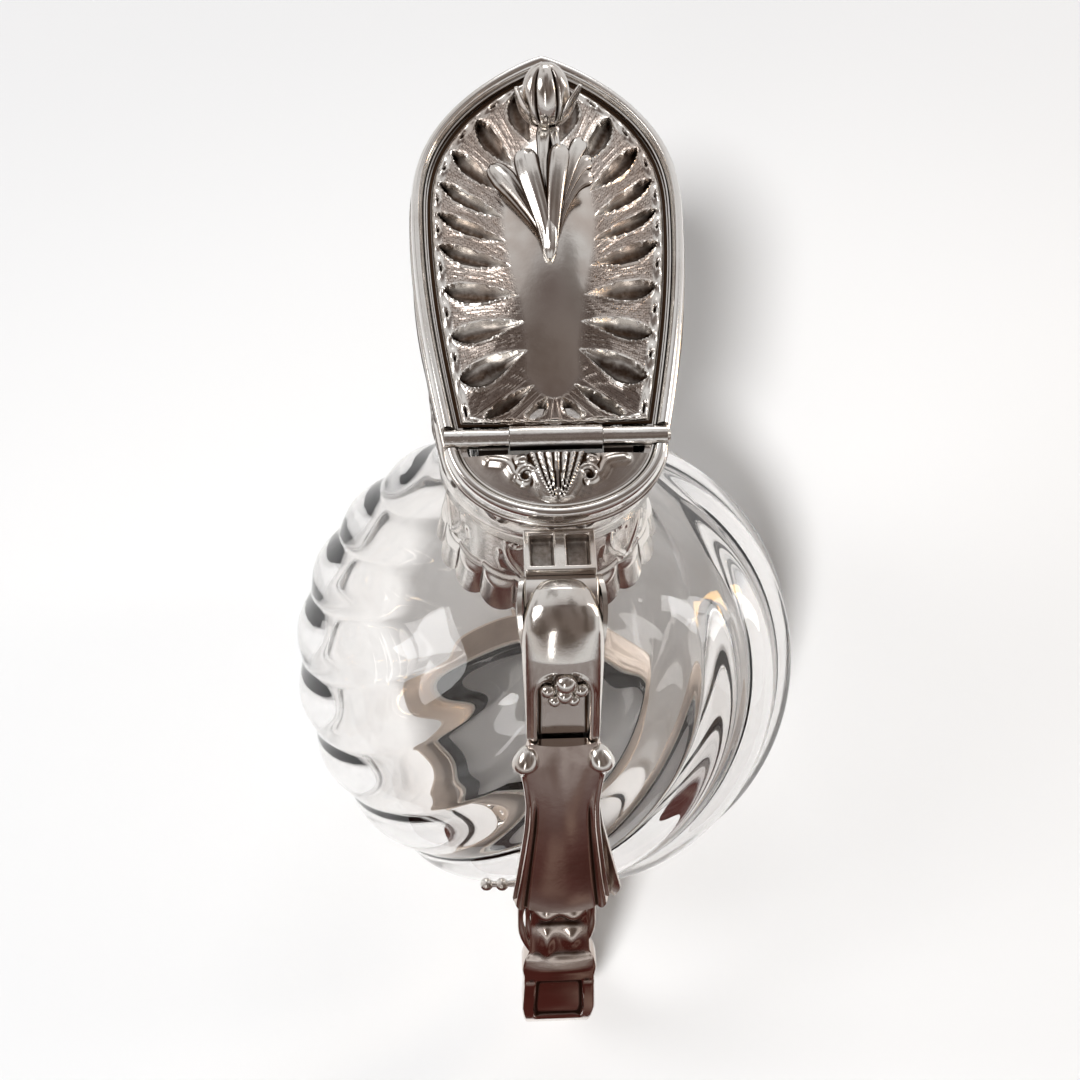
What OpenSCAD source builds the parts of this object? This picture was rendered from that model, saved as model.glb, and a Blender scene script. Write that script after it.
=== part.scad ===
// Claret jug: a spiral-fluted glass bulb set in silver mounts, with a hinged spout lid and a cast scroll handle.
// Millimetres. The origin is the centre of the foot's underside, +Z is up, and the spout points along +Y.
// The lid and the mouth lie in one sloping plane. Its own axes are [across, along the slope, above it], and
// they start at the middle of the hinge pin.

/* [Glass bulb] */
// Radius of the bulb over the crests of its flutes
body_r = 72; // [68:1:76]
// Height from the middle of the bulb to its pole
body_half_h = 60; // [56:1:64]
// Radius of the bulb's flat underside
base_r = 35; // [33:1:37]
// Height of the bulb's flat underside above the table
base_z = 9.8; // [8.5:0.1:12]
// Thickness of the bulb's wall at the flute valleys
glass_wall = 3.4; // [2.5:0.1:4.5]
// Thickness of the glass floor
glass_floor = 4.5; // [3.5:0.1:6]
// Number of spiral flutes
flute_count = 15; // [12:1:18]
// Depth of a flute from crest to valley
flute_depth = 2.0; // [1:0.1:2.6]
// Lean of the flutes from upright, at the bulb's widest place
flute_lean = 48; // [30:1:55]
// Outer radius of the glass neck
neck_r = 22.2; // [21:0.1:23]
// Wall of the glass neck
neck_wall = 3.6; // [3:0.1:4.5]
// Length of the glass neck above the shoulder
neck_len = 32.5; // [30:0.5:36]

/* [Neck mounts] */
// Wall of the silver sleeve round the glass neck
sleeve_wall = 1.2; // [0.8:0.1:1.6]
// Thickness of the setting cement
cement = 0.8; // [0.6:0.1:1]
// Thickness of the chased apron
apron_wall = 1.0; // [0.8:0.1:1.3]
// How far the apron's lower edge spreads beyond its straight part
apron_flare = 2.4; // [1.6:0.1:3]
// Number of lobes along the apron's lower edge
apron_lobes = 18; // [12:1:24]
// Wall of the spout bowl
bowl_wall = 1.3; // [1:0.1:1.8]

/* [Mouth and lid] */
// Height of the hinge axis above the top of the glass neck
mouth_rise = 36; // [32:1:40]
// Distance of the hinge axis behind the neck's axis
hinge_back = 28; // [26:1:30]
// Slope of the lid, up towards the spout
lid_slope = 18.6; // [14:0.2:22]
// Length of the lid from the hinge axis to its point
lid_len = 96; // [88:1:104]
// Half of the lid's greatest width
lid_half_w = 30.5; // [29:0.5:34]
// Where the lid is widest, measured along the slope from the hinge
belly_v = 55; // [48:1:60]
// Half of the mouth's width at the hinge
mouth_half_w = 23.8; // [22:0.2:26]
// Depth of the fixed half-round plate behind the hinge
rear_depth = 18.5; // [16:0.5:21]
// Width of the half-round wires round the lid and the rear plate
wire_w = 3.4; // [2.8:0.1:4]
// Height of those wires above the plates' underside
wire_h = 2.5; // [2:0.1:3]
// Height of the mouth rim that the lid lies on
mouth_rim_h = 2.2; // [1.6:0.1:3]
// Width of the mouth rim
mouth_rim_w = 4.6; // [4:0.1:5]
// Thickness of the lid's plate
lid_plate = 1.0; // [0.8:0.1:1.4]
// Height of the lid's smooth crown above its border
crown_h = 8.5; // [6:0.5:10]
// Where the crown's top is, measured along the slope from the hinge
crown_v = 45; // [40:1:50]
// Height of the lid's gadroons
gadroon_h = 1.3; // [0.6:0.1:1.8]
// Depth of the locating flange under the lid
bezel_h = 3.0; // [2:0.1:4]
// Wall of that flange
bezel_wall = 1.0; // [0.8:0.1:1.3]
// Thickness of the fixed rear plate
rear_plate = 1.0; // [0.8:0.1:1.3]

/* [Hinge] */
// Radius of the two fixed knuckles
knuckle_r = 2.1; // [1.9:0.1:2.3]
// Radius of the lid's knuckle
lid_knuckle_r = 2.6; // [2.4:0.1:2.8]
// Half of the length of the lid's knuckle
lid_knuckle_half = 9.8; // [8:0.2:12]
// Radius of the hinge pin
pin_r = 1.0; // [0.8:0.05:1.2]
// Running clearance between the pin and its knuckles
pin_clear = 0.05; // [0.03:0.01:0.08]
// Height of the hinge axis above the plates' underside
hinge_rise = 0.8; // [0.6:0.1:1.2]
// Length of a hinge leaf, from the axis
leaf_len = 7; // [6:0.5:9]
// Thickness of a hinge leaf
leaf_t = 1.0; // [0.8:0.1:1.3]

/* [Finial] */
// Where the finial's stud goes through the lid, along the slope
stud_v = 58; // [54:1:62]
// Radius of the stud
stud_r = 1.5; // [1.2:0.1:1.8]
// Greatest radius of the stem
stem_r = 2.1; // [1.8:0.1:2.6]
// Length of the stem's root before the stud
root_len = 19; // [16:0.5:22]
// Distance of the bud's base past the stud
bud_reach = 11; // [9:0.5:13]
// Length of the finial's upper leaves
frond_len = 21; // [18:0.5:24]
// Height of the bud's base above the hinge plane
bud_w = 10.5; // [9:0.5:13]
// Length of the bud
bud_len = 13.5; // [11:0.5:16]
// Greatest radius of the bud
bud_r = 5.0; // [4:0.2:6]
// Lean of the bud from the lid's slope
bud_lean = 45; // [35:5:60]

/* [Handle] */
// Farthest reach of the handle from the jug's axis
handle_reach = 100; // [96:0.5:104]
// Width of the handle's scrolls
handle_w = 16; // [14:0.5:18]
// Thickness of the handle's scrolls
handle_t = 7; // [6:0.5:8]
// Height above the table of the joint between the upper and lower scrolls
joint_z = 92; // [87:1:97]
// Height of the handle's fullest place above the table
belly_z = 42; // [36:1:50]
// Width of the leaf at its lip
lip_w = 26.5; // [23:0.5:30]
// Width of the leaf at its waist
waist_w = 17; // [15:0.5:19]
// Width of the smooth hood on top of the handle
hood_w = 17.8; // [16:0.2:19]
// Length of the bracket between the mouth and the upper scroll
bracket_len = 11; // [9:0.5:13]
// Width of the bracket
bracket_w = 15; // [13:0.5:17]
// Height of the bracket
bracket_h = 9; // [8:0.5:11]
// Height of the hood above the scroll's face
hood_h = 4.2; // [3.4:0.1:5]
// Height of the leaf's dome
leaf_h = 2.2; // [1.6:0.1:3]
// How far the leaf's lip stands off the scroll
leaf_lift = 2.6; // [2:0.1:3.2]
// Radius of the knobs beside the leaf's top
knob_r = 1.6; // [1.2:0.1:2]
// Radius of the berries under the hood
berry_r = 2.2; // [1.8:0.1:2.6]
// Radius of the screw that holds the handle to the foot
screw_r = 1.2; // [1:0.1:1.3]

/* [Foot] */
// Outer radius of the moulded foot ring
foot_r = 43; // [41:0.5:45]
// Width of the ledge that the glass stands on, inside the edge of its flat underside
ledge_w = 2; // [1.6:0.1:3]
// Height of the moulded foot ring
foot_ring_h = 3; // [2.4:0.1:3.4]
// Width of the foot ring's underside
foot_ring_w = 7; // [6:0.2:8]
// Outer radius of the gallery's lip
gallery_r = 44; // [42:0.5:46]
// Wall of the gallery
gallery_wall = 2.0; // [1.6:0.1:2.4]

/* [Hidden] */

$fn = 48;
silver = [0.78, 0.76, 0.73];
dark_silver = [0.55, 0.52, 0.49];
clear_glass = [0.86, 0.88, 0.87, 0.45];
plaster = [0.88, 0.86, 0.80];

// Gap between pieces that are soldered or cemented together
seat = 0.08;
// Gap between curved or slanting faces that are soldered, where the solder fills it
fit = 0.25;
// Gap between the lid and what it swings past
swing_gap = 0.3;

// ---- Small tools for curves and skins ----

function lerp(a, b, t) = a + (b - a) * t;
function clamp01(t) = min(1, max(0, t));
function ease(t) = let (u = clamp01(t)) u * u * (3 - 2 * u);
function unit(v) = v / norm(v);

// A point of a cubic curve from its four control points
function bezier(p, t) =
    pow(1 - t, 3) * p[0] + 3 * t * pow(1 - t, 2) * p[1] + 3 * t * t * (1 - t) * p[2] + pow(t, 3) * p[3];
function bezier_dir(p, t) =
    unit(pow(1 - t, 2) * (p[1] - p[0]) + 2 * t * (1 - t) * (p[2] - p[1]) + t * t * (p[3] - p[2]));

// A closed solid over rings of equally many points, each counterclockwise about the way the rings run.
// It closes on itself as a loop, or on flat ends, or on one pole point before the first ring and one after the last
module skin(rings, loop = false, poles = []) {
    n = len(rings[0]);
    m = len(rings);
    points = concat([for (ring = rings) each ring], poles);
    sides = [
        for (i = [0 : (loop ? m : m - 1) - 1], j = [0 : n - 1])
            let (k = (i + 1) % m, a = i * n + j, b = i * n + (j + 1) % n, c = k * n + j, d = k * n + (j + 1) % n)
                each [[a, c, d], [a, d, b]]
    ];
    last = (m - 1) * n;
    flat_ends = [[for (j = [0 : n - 1]) j], [for (j = [n - 1 : -1 : 0]) last + j]];
    pole_ends = [for (j = [0 : n - 1]) each [[m * n, j, (j + 1) % n], [m * n + 1, last + (j + 1) % n, last + j]]];
    polyhedron(points, loop ? sides : concat(sides, len(poles) == 2 ? pole_ends : flat_ends));
}

// ---- The bulb ----

bulb_mean_r = body_r - flute_depth / 2;
bulb_mid_z = base_z + body_half_h * sqrt(1 - pow(base_r / bulb_mean_r, 2));
// Latitudes count down from the upper pole
shoulder_r = neck_r + 4.8;
shoulder_lat = asin(shoulder_r / bulb_mean_r);
base_lat = 180 - asin(base_r / bulb_mean_r);
shoulder_z = bulb_mid_z + body_half_h * cos(shoulder_lat);
neck_root_z = shoulder_z + 4;
neck_top_z = shoulder_z + neck_len;
neck_in_r = neck_r - neck_wall;
// Turn of a flute per degree of latitude
flute_turn = tan(flute_lean) * (bulb_mean_r + body_half_h) / 2 / bulb_mean_r;
bulb_rows = 20;
flute_steps = 6;

// Height of the bulb's mean surface at a radius, above or below its middle
function bulb_z(r, side) = bulb_mid_z + side * body_half_h * sqrt(1 - pow(r / bulb_mean_r, 2));

// ---- The sleeve, apron and bowl ----

sleeve_in_r = neck_r + cement;
sleeve_r = sleeve_in_r + sleeve_wall;
sleeve_top_z = neck_top_z + 1.5;
apron_in_r = sleeve_r + seat;
apron_r = apron_in_r + apron_wall;
apron_edge_r = apron_r + apron_flare;
apron_edge_z = bulb_z(apron_edge_r - apron_wall, 1) + 0.5;
bowl_foot_z = neck_top_z - 4;
bowl_flare_z = neck_top_z - 1;
bowl_foot_r = sleeve_r + fit + bowl_wall;

// ---- The sloping plane of the lid and mouth ----

hinge_z = neck_top_z + mouth_rise;
// The plates' underside, seen from the hinge axis
deck = -hinge_rise;

// Turns a point of the sloping plane into a point of the jug
function to_jug(p) = [
    p[0],
    -hinge_back + p[1] * cos(lid_slope) - p[2] * sin(lid_slope),
    hinge_z + p[1] * sin(lid_slope) + p[2] * cos(lid_slope)
];
// Height in the jug of the plane that lies w above the hinge axis, at a distance y from the neck's axis
function plane_z(y, w) = hinge_z + (y + hinge_back) * tan(lid_slope) + w / cos(lid_slope);
module on_slope() {
    translate([0, -hinge_back, hinge_z]) rotate([lid_slope, 0, 0]) children();
}

// The outlines of the mouth and lid, at a distance d inside the outermost one.
// Half width in front of the hinge: it swells to the belly and closes in a soft point
tip_power = 2.4;
tip_round = 0.85;
tip_inset = 1.15;
function tip_v(d) = lid_len - tip_inset * d;
function half_w(v, d) =
    v < belly_v
        ? mouth_half_w - d + (lid_half_w - mouth_half_w) * sin(90 * max(0, v) / belly_v)
        : (lid_half_w - d) * pow(max(0, 1 - pow((v - belly_v) / (tip_v(d) - belly_v), tip_power)), tip_round);
function side_points(from_v, steps, d) =
    [for (i = [0 : steps - 1]) let (v = lerp(from_v, belly_v, i / steps)) [half_w(v, d), v]];
function tip_points(steps, d) =
    [for (i = [0 : steps]) let (v = lerp(belly_v, tip_v(d), sin(90 * i / steps))) [half_w(v, d), v]];
function rear_points(from_a, to_a, steps, d) = [
    for (i = [0 : steps])
        let (a = lerp(from_a, to_a, i / steps)) [(mouth_half_w - d) * sin(a), -(rear_depth - d) * cos(a)]
];
function mirrored(points) = [for (i = [len(points) - 1 : -1 : 0]) [-points[i][0], points[i][1]]];
function without_first(points) = [for (i = [1 : len(points) - 1]) points[i]];
function without_last(points) = [for (i = [0 : len(points) - 2]) points[i]];

// The whole mouth, counterclockwise from its middle behind the hinge
function mouth_outline(d) =
    let (right = concat(rear_points(0, 90, 8, d), without_first(side_points(0, 10, d)), tip_points(8, d)))
    concat(right, without_first(without_last(mirrored(right))));
// The lid's edge, up its right side, round the point and down its left side
lid_start_v = knuckle_r + swing_gap;
function lid_chain(d, from_v = lid_start_v, side_steps = 12, tip_steps = 9) =
    let (right = concat(side_points(from_v, side_steps, d), tip_points(tip_steps, d)))
    concat(right, without_first(mirrored(right)));
// The edge behind the hinge, from left to right
rear_end_a = acos((knuckle_r + seat) / (rear_depth - wire_w));
function rear_chain(d) =
    let (right = rear_points(0, rear_end_a, 10, d))
    concat(without_last(mirrored(right)), right);
// A wire's rings from one outline for each point of its section, which is [inwards, up]
function wire_rings(outlines, section) = [
    for (i = [0 : len(outlines[0]) - 1])
        [for (k = [0 : len(section) - 1]) [outlines[k][i][0], outlines[k][i][1], section[k][1]]]
];

// Half-round section of the wires, from their outer foot round to the inner one
function wire_section(z0, width, height) = let (r = width / 2, rise = height - r)
    concat(
        [[0, z0]],
        [for (a = [0 : 30 : 180]) [r - r * cos(a), z0 + max(0.2, rise) + (height - max(0.2, rise)) * sin(a)]],
        [[width, z0]]
    );

// ---- Rear edge of the mouth, where the handle starts ----

rim_back = to_jug([0, -rear_depth, deck - mouth_rim_h]);
bowl_top_w = deck - mouth_rim_h - seat;
bowl_inset = 0.5;
bowl_power = 1.7;
// The bowl's wall behind the neck at a height
bowl_rear_top = to_jug([0, -rear_depth + bowl_inset, bowl_top_w]);
function bowl_rear_y(z) =
    lerp(-bowl_foot_r, bowl_rear_top[1], pow(clamp01((z - bowl_flare_z) / (bowl_rear_top[2] - bowl_flare_z)), bowl_power));

// ---- Handle ----

bracket_top_z = rim_back[2] - 1;
bracket_end_y = rim_back[1] - bracket_len;
// The scrolls' outer face, as [y, z] curves: the upper one from the bracket to the joint, the lower one from the
// joint to the handle's fullest place, and the heel from there to the foot
upper_curve = [
    [bracket_end_y - seat, bracket_top_z - 2],
    [bracket_end_y - 17, bracket_top_z - 1],
    [-(handle_reach - 13), joint_z + 37],
    [-(handle_reach - 10.5), joint_z]
];
joint_dir = bezier_dir(upper_curve, 1);
lower_start = upper_curve[3] + seat * joint_dir;
lower_curve = [
    lower_start,
    lower_start + 14 * joint_dir,
    [-handle_reach, belly_z + 24],
    [-handle_reach, belly_z]
];
terminal_z = 2.2;
terminal_t = 7;
heel_curve = [
    [-handle_reach, belly_z],
    [-handle_reach, belly_z - 28],
    [-(handle_reach - 16), terminal_z - 1.6],
    [-(gallery_r + 12), terminal_z]
];
joint_w = handle_w - 2;

// The foot's waist between its ring and the gallery's lip, and the screw that goes through it
seat_z = base_z - cement;
waist_r = gallery_r - 3.6;
foot_in_r = base_r - ledge_w;
foot_waist_z = foot_ring_h + 0.2;
dish_r0 = base_r + 0.4;
dish_r1 = gallery_r - 0.8;
// The dish follows the glass, a cement joint below it
function dish_z(r) = bulb_mid_z - (body_half_h + cement) * sqrt(1 - pow(r / (bulb_mean_r + cement), 2));
gallery_lip_z = dish_z(dish_r1) - 1.4;
screw_z = (foot_ring_h + seat_z - gallery_wall) / 2;
screw_head_r = screw_r + 0.6;
gallery_in_y = -(waist_r - gallery_wall);
washer_t = 0.6;

// A ring of a strap-like scroll: its outer face is flat and its inner face is round
function strap_ring(c, dir, w, t) =
    let (out = [dir[1], -dir[0]])
    [for (i = [0 : 13])
        let (
            a = 360 * i / 14 + 360 / 28,
            x = w / 2 * sign(cos(a)) * pow(abs(cos(a)), 0.5),
            d = -t / 2 + t / 2 * sign(sin(a)) * pow(abs(sin(a)), 0.6)
        )
        [x, c[0] + out[0] * d, c[1] + out[1] * d]];
// A ring of a leaf or hood: a flat underside and a domed top
function dome_ring(c, dir, w, h, lift) =
    let (out = [dir[1], -dir[0]])
    [for (i = [0 : 12])
        let (a = 180 * i / 12, x = w / 2 * cos(a), d = lift + h * pow(sin(a), 0.8) + (i == 0 || i == 12 ? 0 : 0.35))
        [x, c[0] + out[0] * d, c[1] + out[1] * d]];

// ======================= Pieces =======================

module bulb_outside() {
    columns = flute_count * flute_steps;
    function ring(r, z, lat, depth) = [
        for (i = [0 : columns - 1])
            let (
                a = 360 * i / columns - flute_turn * (lat - 90),
                rr = r + depth / 2 * cos(360 * i / flute_steps)
            )
            [rr * cos(a), rr * sin(a), z]
    ];
    bulb = [
        for (k = [bulb_rows : -1 : 0])
            let (
                lat = lerp(shoulder_lat, base_lat, k / bulb_rows),
                depth = flute_depth * ease((lat - 31) / 20) * ease((base_lat - lat) / 20)
            )
            ring(bulb_mean_r * sin(lat), bulb_mid_z + body_half_h * cos(lat), lat, depth)
    ];
    fillet = [
        for (k = [1 : 4])
            let (p = bezier([
                [shoulder_r, shoulder_z],
                [neck_r + 1.2, shoulder_z + 0.8],
                [neck_r, shoulder_z + 1.6],
                [neck_r, neck_root_z]
            ], k / 4))
            ring(p[0], p[1], shoulder_lat, 0)
    ];
    skin(concat(bulb, fillet, [ring(neck_r, neck_top_z, shoulder_lat, 0)]));
}

module bulb_inside() {
    in_r = body_r - flute_depth - glass_wall;
    in_half_h = body_half_h - glass_wall;
    floor_z = base_z + glass_floor;
    low = acos((floor_z - bulb_mid_z) / in_half_h);
    high = asin(neck_in_r / in_r);
    rotate_extrude($fn = 96)
        polygon(concat(
            [[0, floor_z]],
            [for (i = [0 : 28]) let (lat = lerp(low, high, i / 28)) [in_r * sin(lat), bulb_mid_z + in_half_h * cos(lat)]],
            [[neck_in_r, neck_top_z + 1], [0, neck_top_z + 1]]
        ));
}

module glass_body() {
    color(clear_glass)
        difference() {
            bulb_outside();
            bulb_inside();
        }
}

module neck_cement() {
    color(plaster)
        rotate_extrude($fn = 96)
            polygon([
                [neck_r + seat, neck_root_z + 1],
                [sleeve_in_r - seat, neck_root_z + 1],
                [sleeve_in_r - seat, neck_top_z - 2],
                [neck_r + seat, neck_top_z - 2]
            ]);
}

module neck_sleeve() {
    lip_z0 = neck_top_z + seat;
    color(silver)
        rotate_extrude($fn = 96)
            polygon([
                [sleeve_in_r, neck_root_z],
                [sleeve_r, neck_root_z],
                [sleeve_r, sleeve_top_z],
                [neck_in_r + 0.6, sleeve_top_z],
                [neck_in_r + 0.6, lip_z0],
                [sleeve_in_r, lip_z0]
            ]);
}

module collar_apron() {
    top_z = bowl_foot_z - seat;
    steps = 10;
    function flare(t) = apron_flare * pow(1 - t, 3);
    color(silver)
        difference() {
            union() {
                rotate_extrude($fn = 96)
                    polygon(concat(
                        [for (i = [0 : steps]) [apron_r + flare(i / steps), lerp(apron_edge_z, top_z, i / steps)]],
                        [for (i = [steps : -1 : 0])
                            [apron_in_r + flare(i / steps), lerp(apron_edge_z, top_z, i / steps)]]
                    ));
                rotate_extrude($fn = 96)
                    translate([apron_r, top_z - 1.2]) circle(r = 1.1, $fn = 24);
            }
            for (i = [0 : apron_lobes - 1])
                rotate([0, 0, 360 * (i + 0.5) / apron_lobes])
                    translate([apron_r, 0, apron_edge_z - 0.4])
                        rotate([0, 90, 0]) cylinder(r = 1.7, h = apron_flare + apron_wall + 3, $fn = 24);
            cylinder(r = apron_in_r, h = sleeve_top_z, $fn = 96);
        }
}

module spout_bowl() {
    top = mouth_outline(bowl_inset);
    rows = 6;
    // One upright strip of the wall; wall is measured outwards from the inner face
    function strip(p, wall) =
        let (
            q = to_jug([p[0], p[1], bowl_top_w]),
            dir = unit([q[0], q[1]]),
            reach = norm([q[0], q[1]]) - bowl_wall + wall,
            foot = bowl_foot_r - bowl_wall + wall
        )
        concat(
            [[foot * dir[0], foot * dir[1], bowl_foot_z]],
            [for (i = [0 : rows])
                let (
                    t = i / rows,
                    r = lerp(foot, reach, pow(t, bowl_power)),
                    top_z = plane_z(reach * dir[1], bowl_top_w)
                )
                [r * dir[0], r * dir[1], lerp(bowl_flare_z, top_z, t)]]
        );
    rings = [
        for (p = top)
            let (outer = strip(p, bowl_wall), inner = strip(p, 0))
            concat(outer, [for (i = [len(inner) - 1 : -1 : 0]) inner[i]])
    ];
    color(silver) skin(rings, loop = true);
}

module mouth_rim() {
    section = [
        [0.3, deck - mouth_rim_h], [0, deck - mouth_rim_h * 0.75], [0, deck - mouth_rim_h * 0.3], [0.3, deck],
        [mouth_rim_w, deck], [mouth_rim_w, deck - mouth_rim_h]
    ];
    color(silver)
        on_slope()
            difference() {
                skin(wire_rings([for (p = section) mouth_outline(p[0])], section), loop = true);
                rotate([0, 90, 0])
                    cylinder(r = knuckle_r + seat, h = 2 * mouth_half_w + 2, center = true);
            }
}

module rear_rim() {
    section = wire_section(deck + seat, wire_w, wire_h);
    color(silver) on_slope() skin(wire_rings([for (p = section) rear_chain(p[0])], section));
}

module rear_cover() {
    front_v = -(knuckle_r + 1.2);
    outline = rear_chain(wire_w + seat);
    plate = [for (p = outline) if (p[1] < front_v - 0.1) p];
    corner_x = half_w(0, wire_w + seat) * sqrt(1 - pow(front_v / (rear_depth - wire_w - seat), 2));
    top_w = deck + seat + rear_plate;
    fan_ribs = 7;
    rib_len = rear_depth - wire_w - 5;
    // Spacing of the fan's ribs at the hinge and at their meeting point
    rib_front = 1.6;
    rib_back = 0.7;
    color(silver)
        on_slope()
            union() {
                translate([0, 0, deck + seat])
                    linear_extrude(rear_plate)
                        polygon(concat([[-corner_x, front_v]], plate, [[corner_x, front_v]]));
                for (i = [0 : fan_ribs - 1])
                    let (k = i - (fan_ribs - 1) / 2, drawn_in = k * (rib_front - rib_back))
                    translate([k * rib_front, front_v - 0.6, top_w - 0.15])
                        rotate([90, 0, -asin(drawn_in / rib_len)])
                            cylinder(r1 = rib_front * 0.47, r2 = rib_back * 0.42, h = rib_len - 0.4 * abs(k), $fn = 24);
                for (side = [-1, 1])
                    translate([side * 7.6, front_v - 3.6, top_w - 0.1])
                        rotate_extrude($fn = 32)
                            polygon([[0, 0], [2.4, 0], [2.0, 0.8], [1.2, 0.8], [0.9, 0.4], [0, 0.4]]);
            }
}

// One knuckle along X from x0 to x1, bored for the pin
module knuckle(x0, x1, r) {
    difference() {
        union() {
            translate([x0, 0, 0]) rotate([0, 90, 0]) cylinder(r = r, h = x1 - x0);
            children();
        }
        translate([x0 - 1, 0, 0]) rotate([0, 90, 0]) cylinder(r = pin_r + pin_clear, h = x1 - x0 + 2);
    }
}

module fixed_knuckle(side) {
    inner = lid_knuckle_half + 0.2;
    outer = mouth_half_w - 0.2;
    leaf_end = mouth_half_w - mouth_rim_w - 2.8;
    x0 = side > 0 ? inner : -outer;
    x1 = side > 0 ? outer : -inner;
    leaf_x0 = side > 0 ? inner + 0.2 : -leaf_end;
    color(silver)
        on_slope()
            knuckle(x0, x1, knuckle_r)
                translate([leaf_x0, -leaf_len, deck - leaf_t]) cube([leaf_end - inner - 0.2, leaf_len, leaf_t]);
}

module hinge_knuckle_left() {
    fixed_knuckle(-1);
}

module hinge_knuckle_right() {
    fixed_knuckle(1);
}

module hinge_knuckle_lid() {
    leaf_half = lid_knuckle_half - 0.8;
    leaf_top = deck + swing_gap - 0.2 - seat;
    color(silver)
        on_slope()
            knuckle(-lid_knuckle_half, lid_knuckle_half, lid_knuckle_r)
                translate([-leaf_half, 0, leaf_top - leaf_t]) cube([2 * leaf_half, leaf_len, leaf_t]);
}

module hinge_pin() {
    half = mouth_half_w - 0.2;
    head_r = pin_r + 0.5;
    color(dark_silver)
        on_slope() {
            translate([-half, 0, 0]) rotate([0, 90, 0]) cylinder(r = pin_r, h = 2 * half + 0.2);
            translate([half + 0.1, 0, 0]) rotate([0, 90, 0]) cylinder(r1 = head_r, r2 = head_r - 0.4, h = 0.7);
        }
}

// ---- Lid ----

// The lid's plate starts at this height, so that its wire and border share an underside
lid_under = deck + swing_gap - 0.2;
shell_inset = wire_w + fit;
shell_edge = let (chain = lid_chain(shell_inset, lid_start_v + 0.7, 24, 16), n = len(chain), rear = 15)
    concat(chain, [for (i = [1 : rear]) lerp(chain[n - 1], chain[0], i / (rear + 1))]);
gadroon_step = 4;

// Height of the lid's upper face at a share of the way from the crown to the border
function lid_top(rho, i) =
    let (
        body = crown_h * (1 - ease(pow(rho, 1.25))),
        lobes = gadroon_h * ease((rho - 0.28) / 0.35) * (1 - ease((rho - 0.86) / 0.1)),
        bead = 0.5 * ease((rho - 0.9) / 0.05) * (1 - ease((rho - 0.965) / 0.035))
    )
    lid_under + lid_plate + body + bead + lobes * 0.5 * cos(360 * (i + 0.5) / gadroon_step);

module lid_shell() {
    centre = [0, crown_v];
    function ring(rho, drop) = [
        for (i = [0 : len(shell_edge) - 1])
            let (p = lerp(centre, shell_edge[i], rho)) [p[0], p[1], lid_top(rho, i) - drop]
    ];
    shares = [0.2, 0.36, 0.5, 0.64, 0.78, 0.88, 0.93, 0.965, 1];
    under_shares = [0.2, 0.36, 0.5, 0.64, 0.78, 0.88, 1];
    top = [centre[0], centre[1], lid_top(0, 0)];
    color(silver)
        on_slope()
            difference() {
                skin(
                    concat(
                        [for (s = under_shares) ring(s, lid_plate)],
                        [for (k = [len(shares) - 1 : -1 : 0]) ring(shares[k], 0)]
                    ),
                    poles = [top - [0, 0, lid_plate], top]
                );
                translate([0, stud_v, deck - 1]) cylinder(r = stud_r + 0.1, h = crown_h + 6);
            }
}

module lid_rim() {
    section = wire_section(lid_under, wire_w, wire_h);
    color(silver) on_slope() skin(wire_rings([for (p = section) lid_chain(p[0])], section));
}

module lid_bezel() {
    start_v = leaf_len + 2;
    clear = mouth_rim_w + 0.5;
    top_w = lid_under - seat;
    section = [
        [clear, top_w - bezel_h], [clear, top_w], [clear + bezel_wall, top_w], [clear + bezel_wall, top_w - bezel_h]
    ];
    color(silver) on_slope() skin(wire_rings([for (p = section) lid_chain(p[0], start_v, 8, 8)], section));
}

// ---- Finial ----

// Height of the lid's crown surface under the finial, taken along the middle line
function crown_w(v) = lid_top(abs(v - crown_v) / (v > crown_v ? lid_len - shell_inset - crown_v : crown_v), 0.5);

module finial_stem() {
    root_v = stud_v - root_len;
    flange_r = 3.2;
    seat_w = crown_w(stud_v - flange_r);
    curve = [
        [root_v, crown_w(root_v) + 0.9],
        [lerp(root_v, stud_v, 0.45), crown_w(crown_v) + 4.8],
        [stud_v, bud_w + 0.3],
        [stud_v + bud_reach, bud_w]
    ];
    rings = [
        for (i = [0 : 10])
            let (t = i / 10, c = bezier(curve, t), d = bezier_dir(curve, t), r = stem_r * lerp(0.28, 1, sin(180 * clamp01(t * 0.9 + 0.05))))
            [for (j = [0 : 9]) let (a = 36 * j, out = [-d[1], d[0]])
                [-r * cos(a), c[0] + out[0] * r * sin(a), c[1] + out[1] * r * sin(a)]]
    ];
    color(silver)
        on_slope() {
            skin(rings);
            translate([0, stud_v, lid_under - bezel_h + 0.4]) cylinder(r = stud_r, h = bud_w - 1 - (lid_under - bezel_h + 0.4));
            translate([0, stud_v, seat_w + seat]) cylinder(r = flange_r, h = 1.2);
        }
}

// A leaf blade: a bent, pointed, lens-shaped sweep along a curve of [along, up] points, turned about the root
module blade(curve, width, thick, turn) {
    rings = [
        for (i = [0 : 8])
            let (
                t = i / 8, c = bezier(curve, t), d = bezier_dir(curve, t),
                w = 0.35 + width / 2 * sin(180 * pow(clamp01(t * 0.96 + 0.02), 1.35)), h = thick / 2 * (1 - 0.5 * t)
            )
            [for (j = [0 : 5])
                let (a = 60 * j, out = [-d[1], d[0]]) [-w * cos(a), c[0] + out[0] * h * sin(a), c[1] + out[1] * h * sin(a)]]
    ];
    rotate([0, 0, turn]) skin(rings);
}

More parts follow.
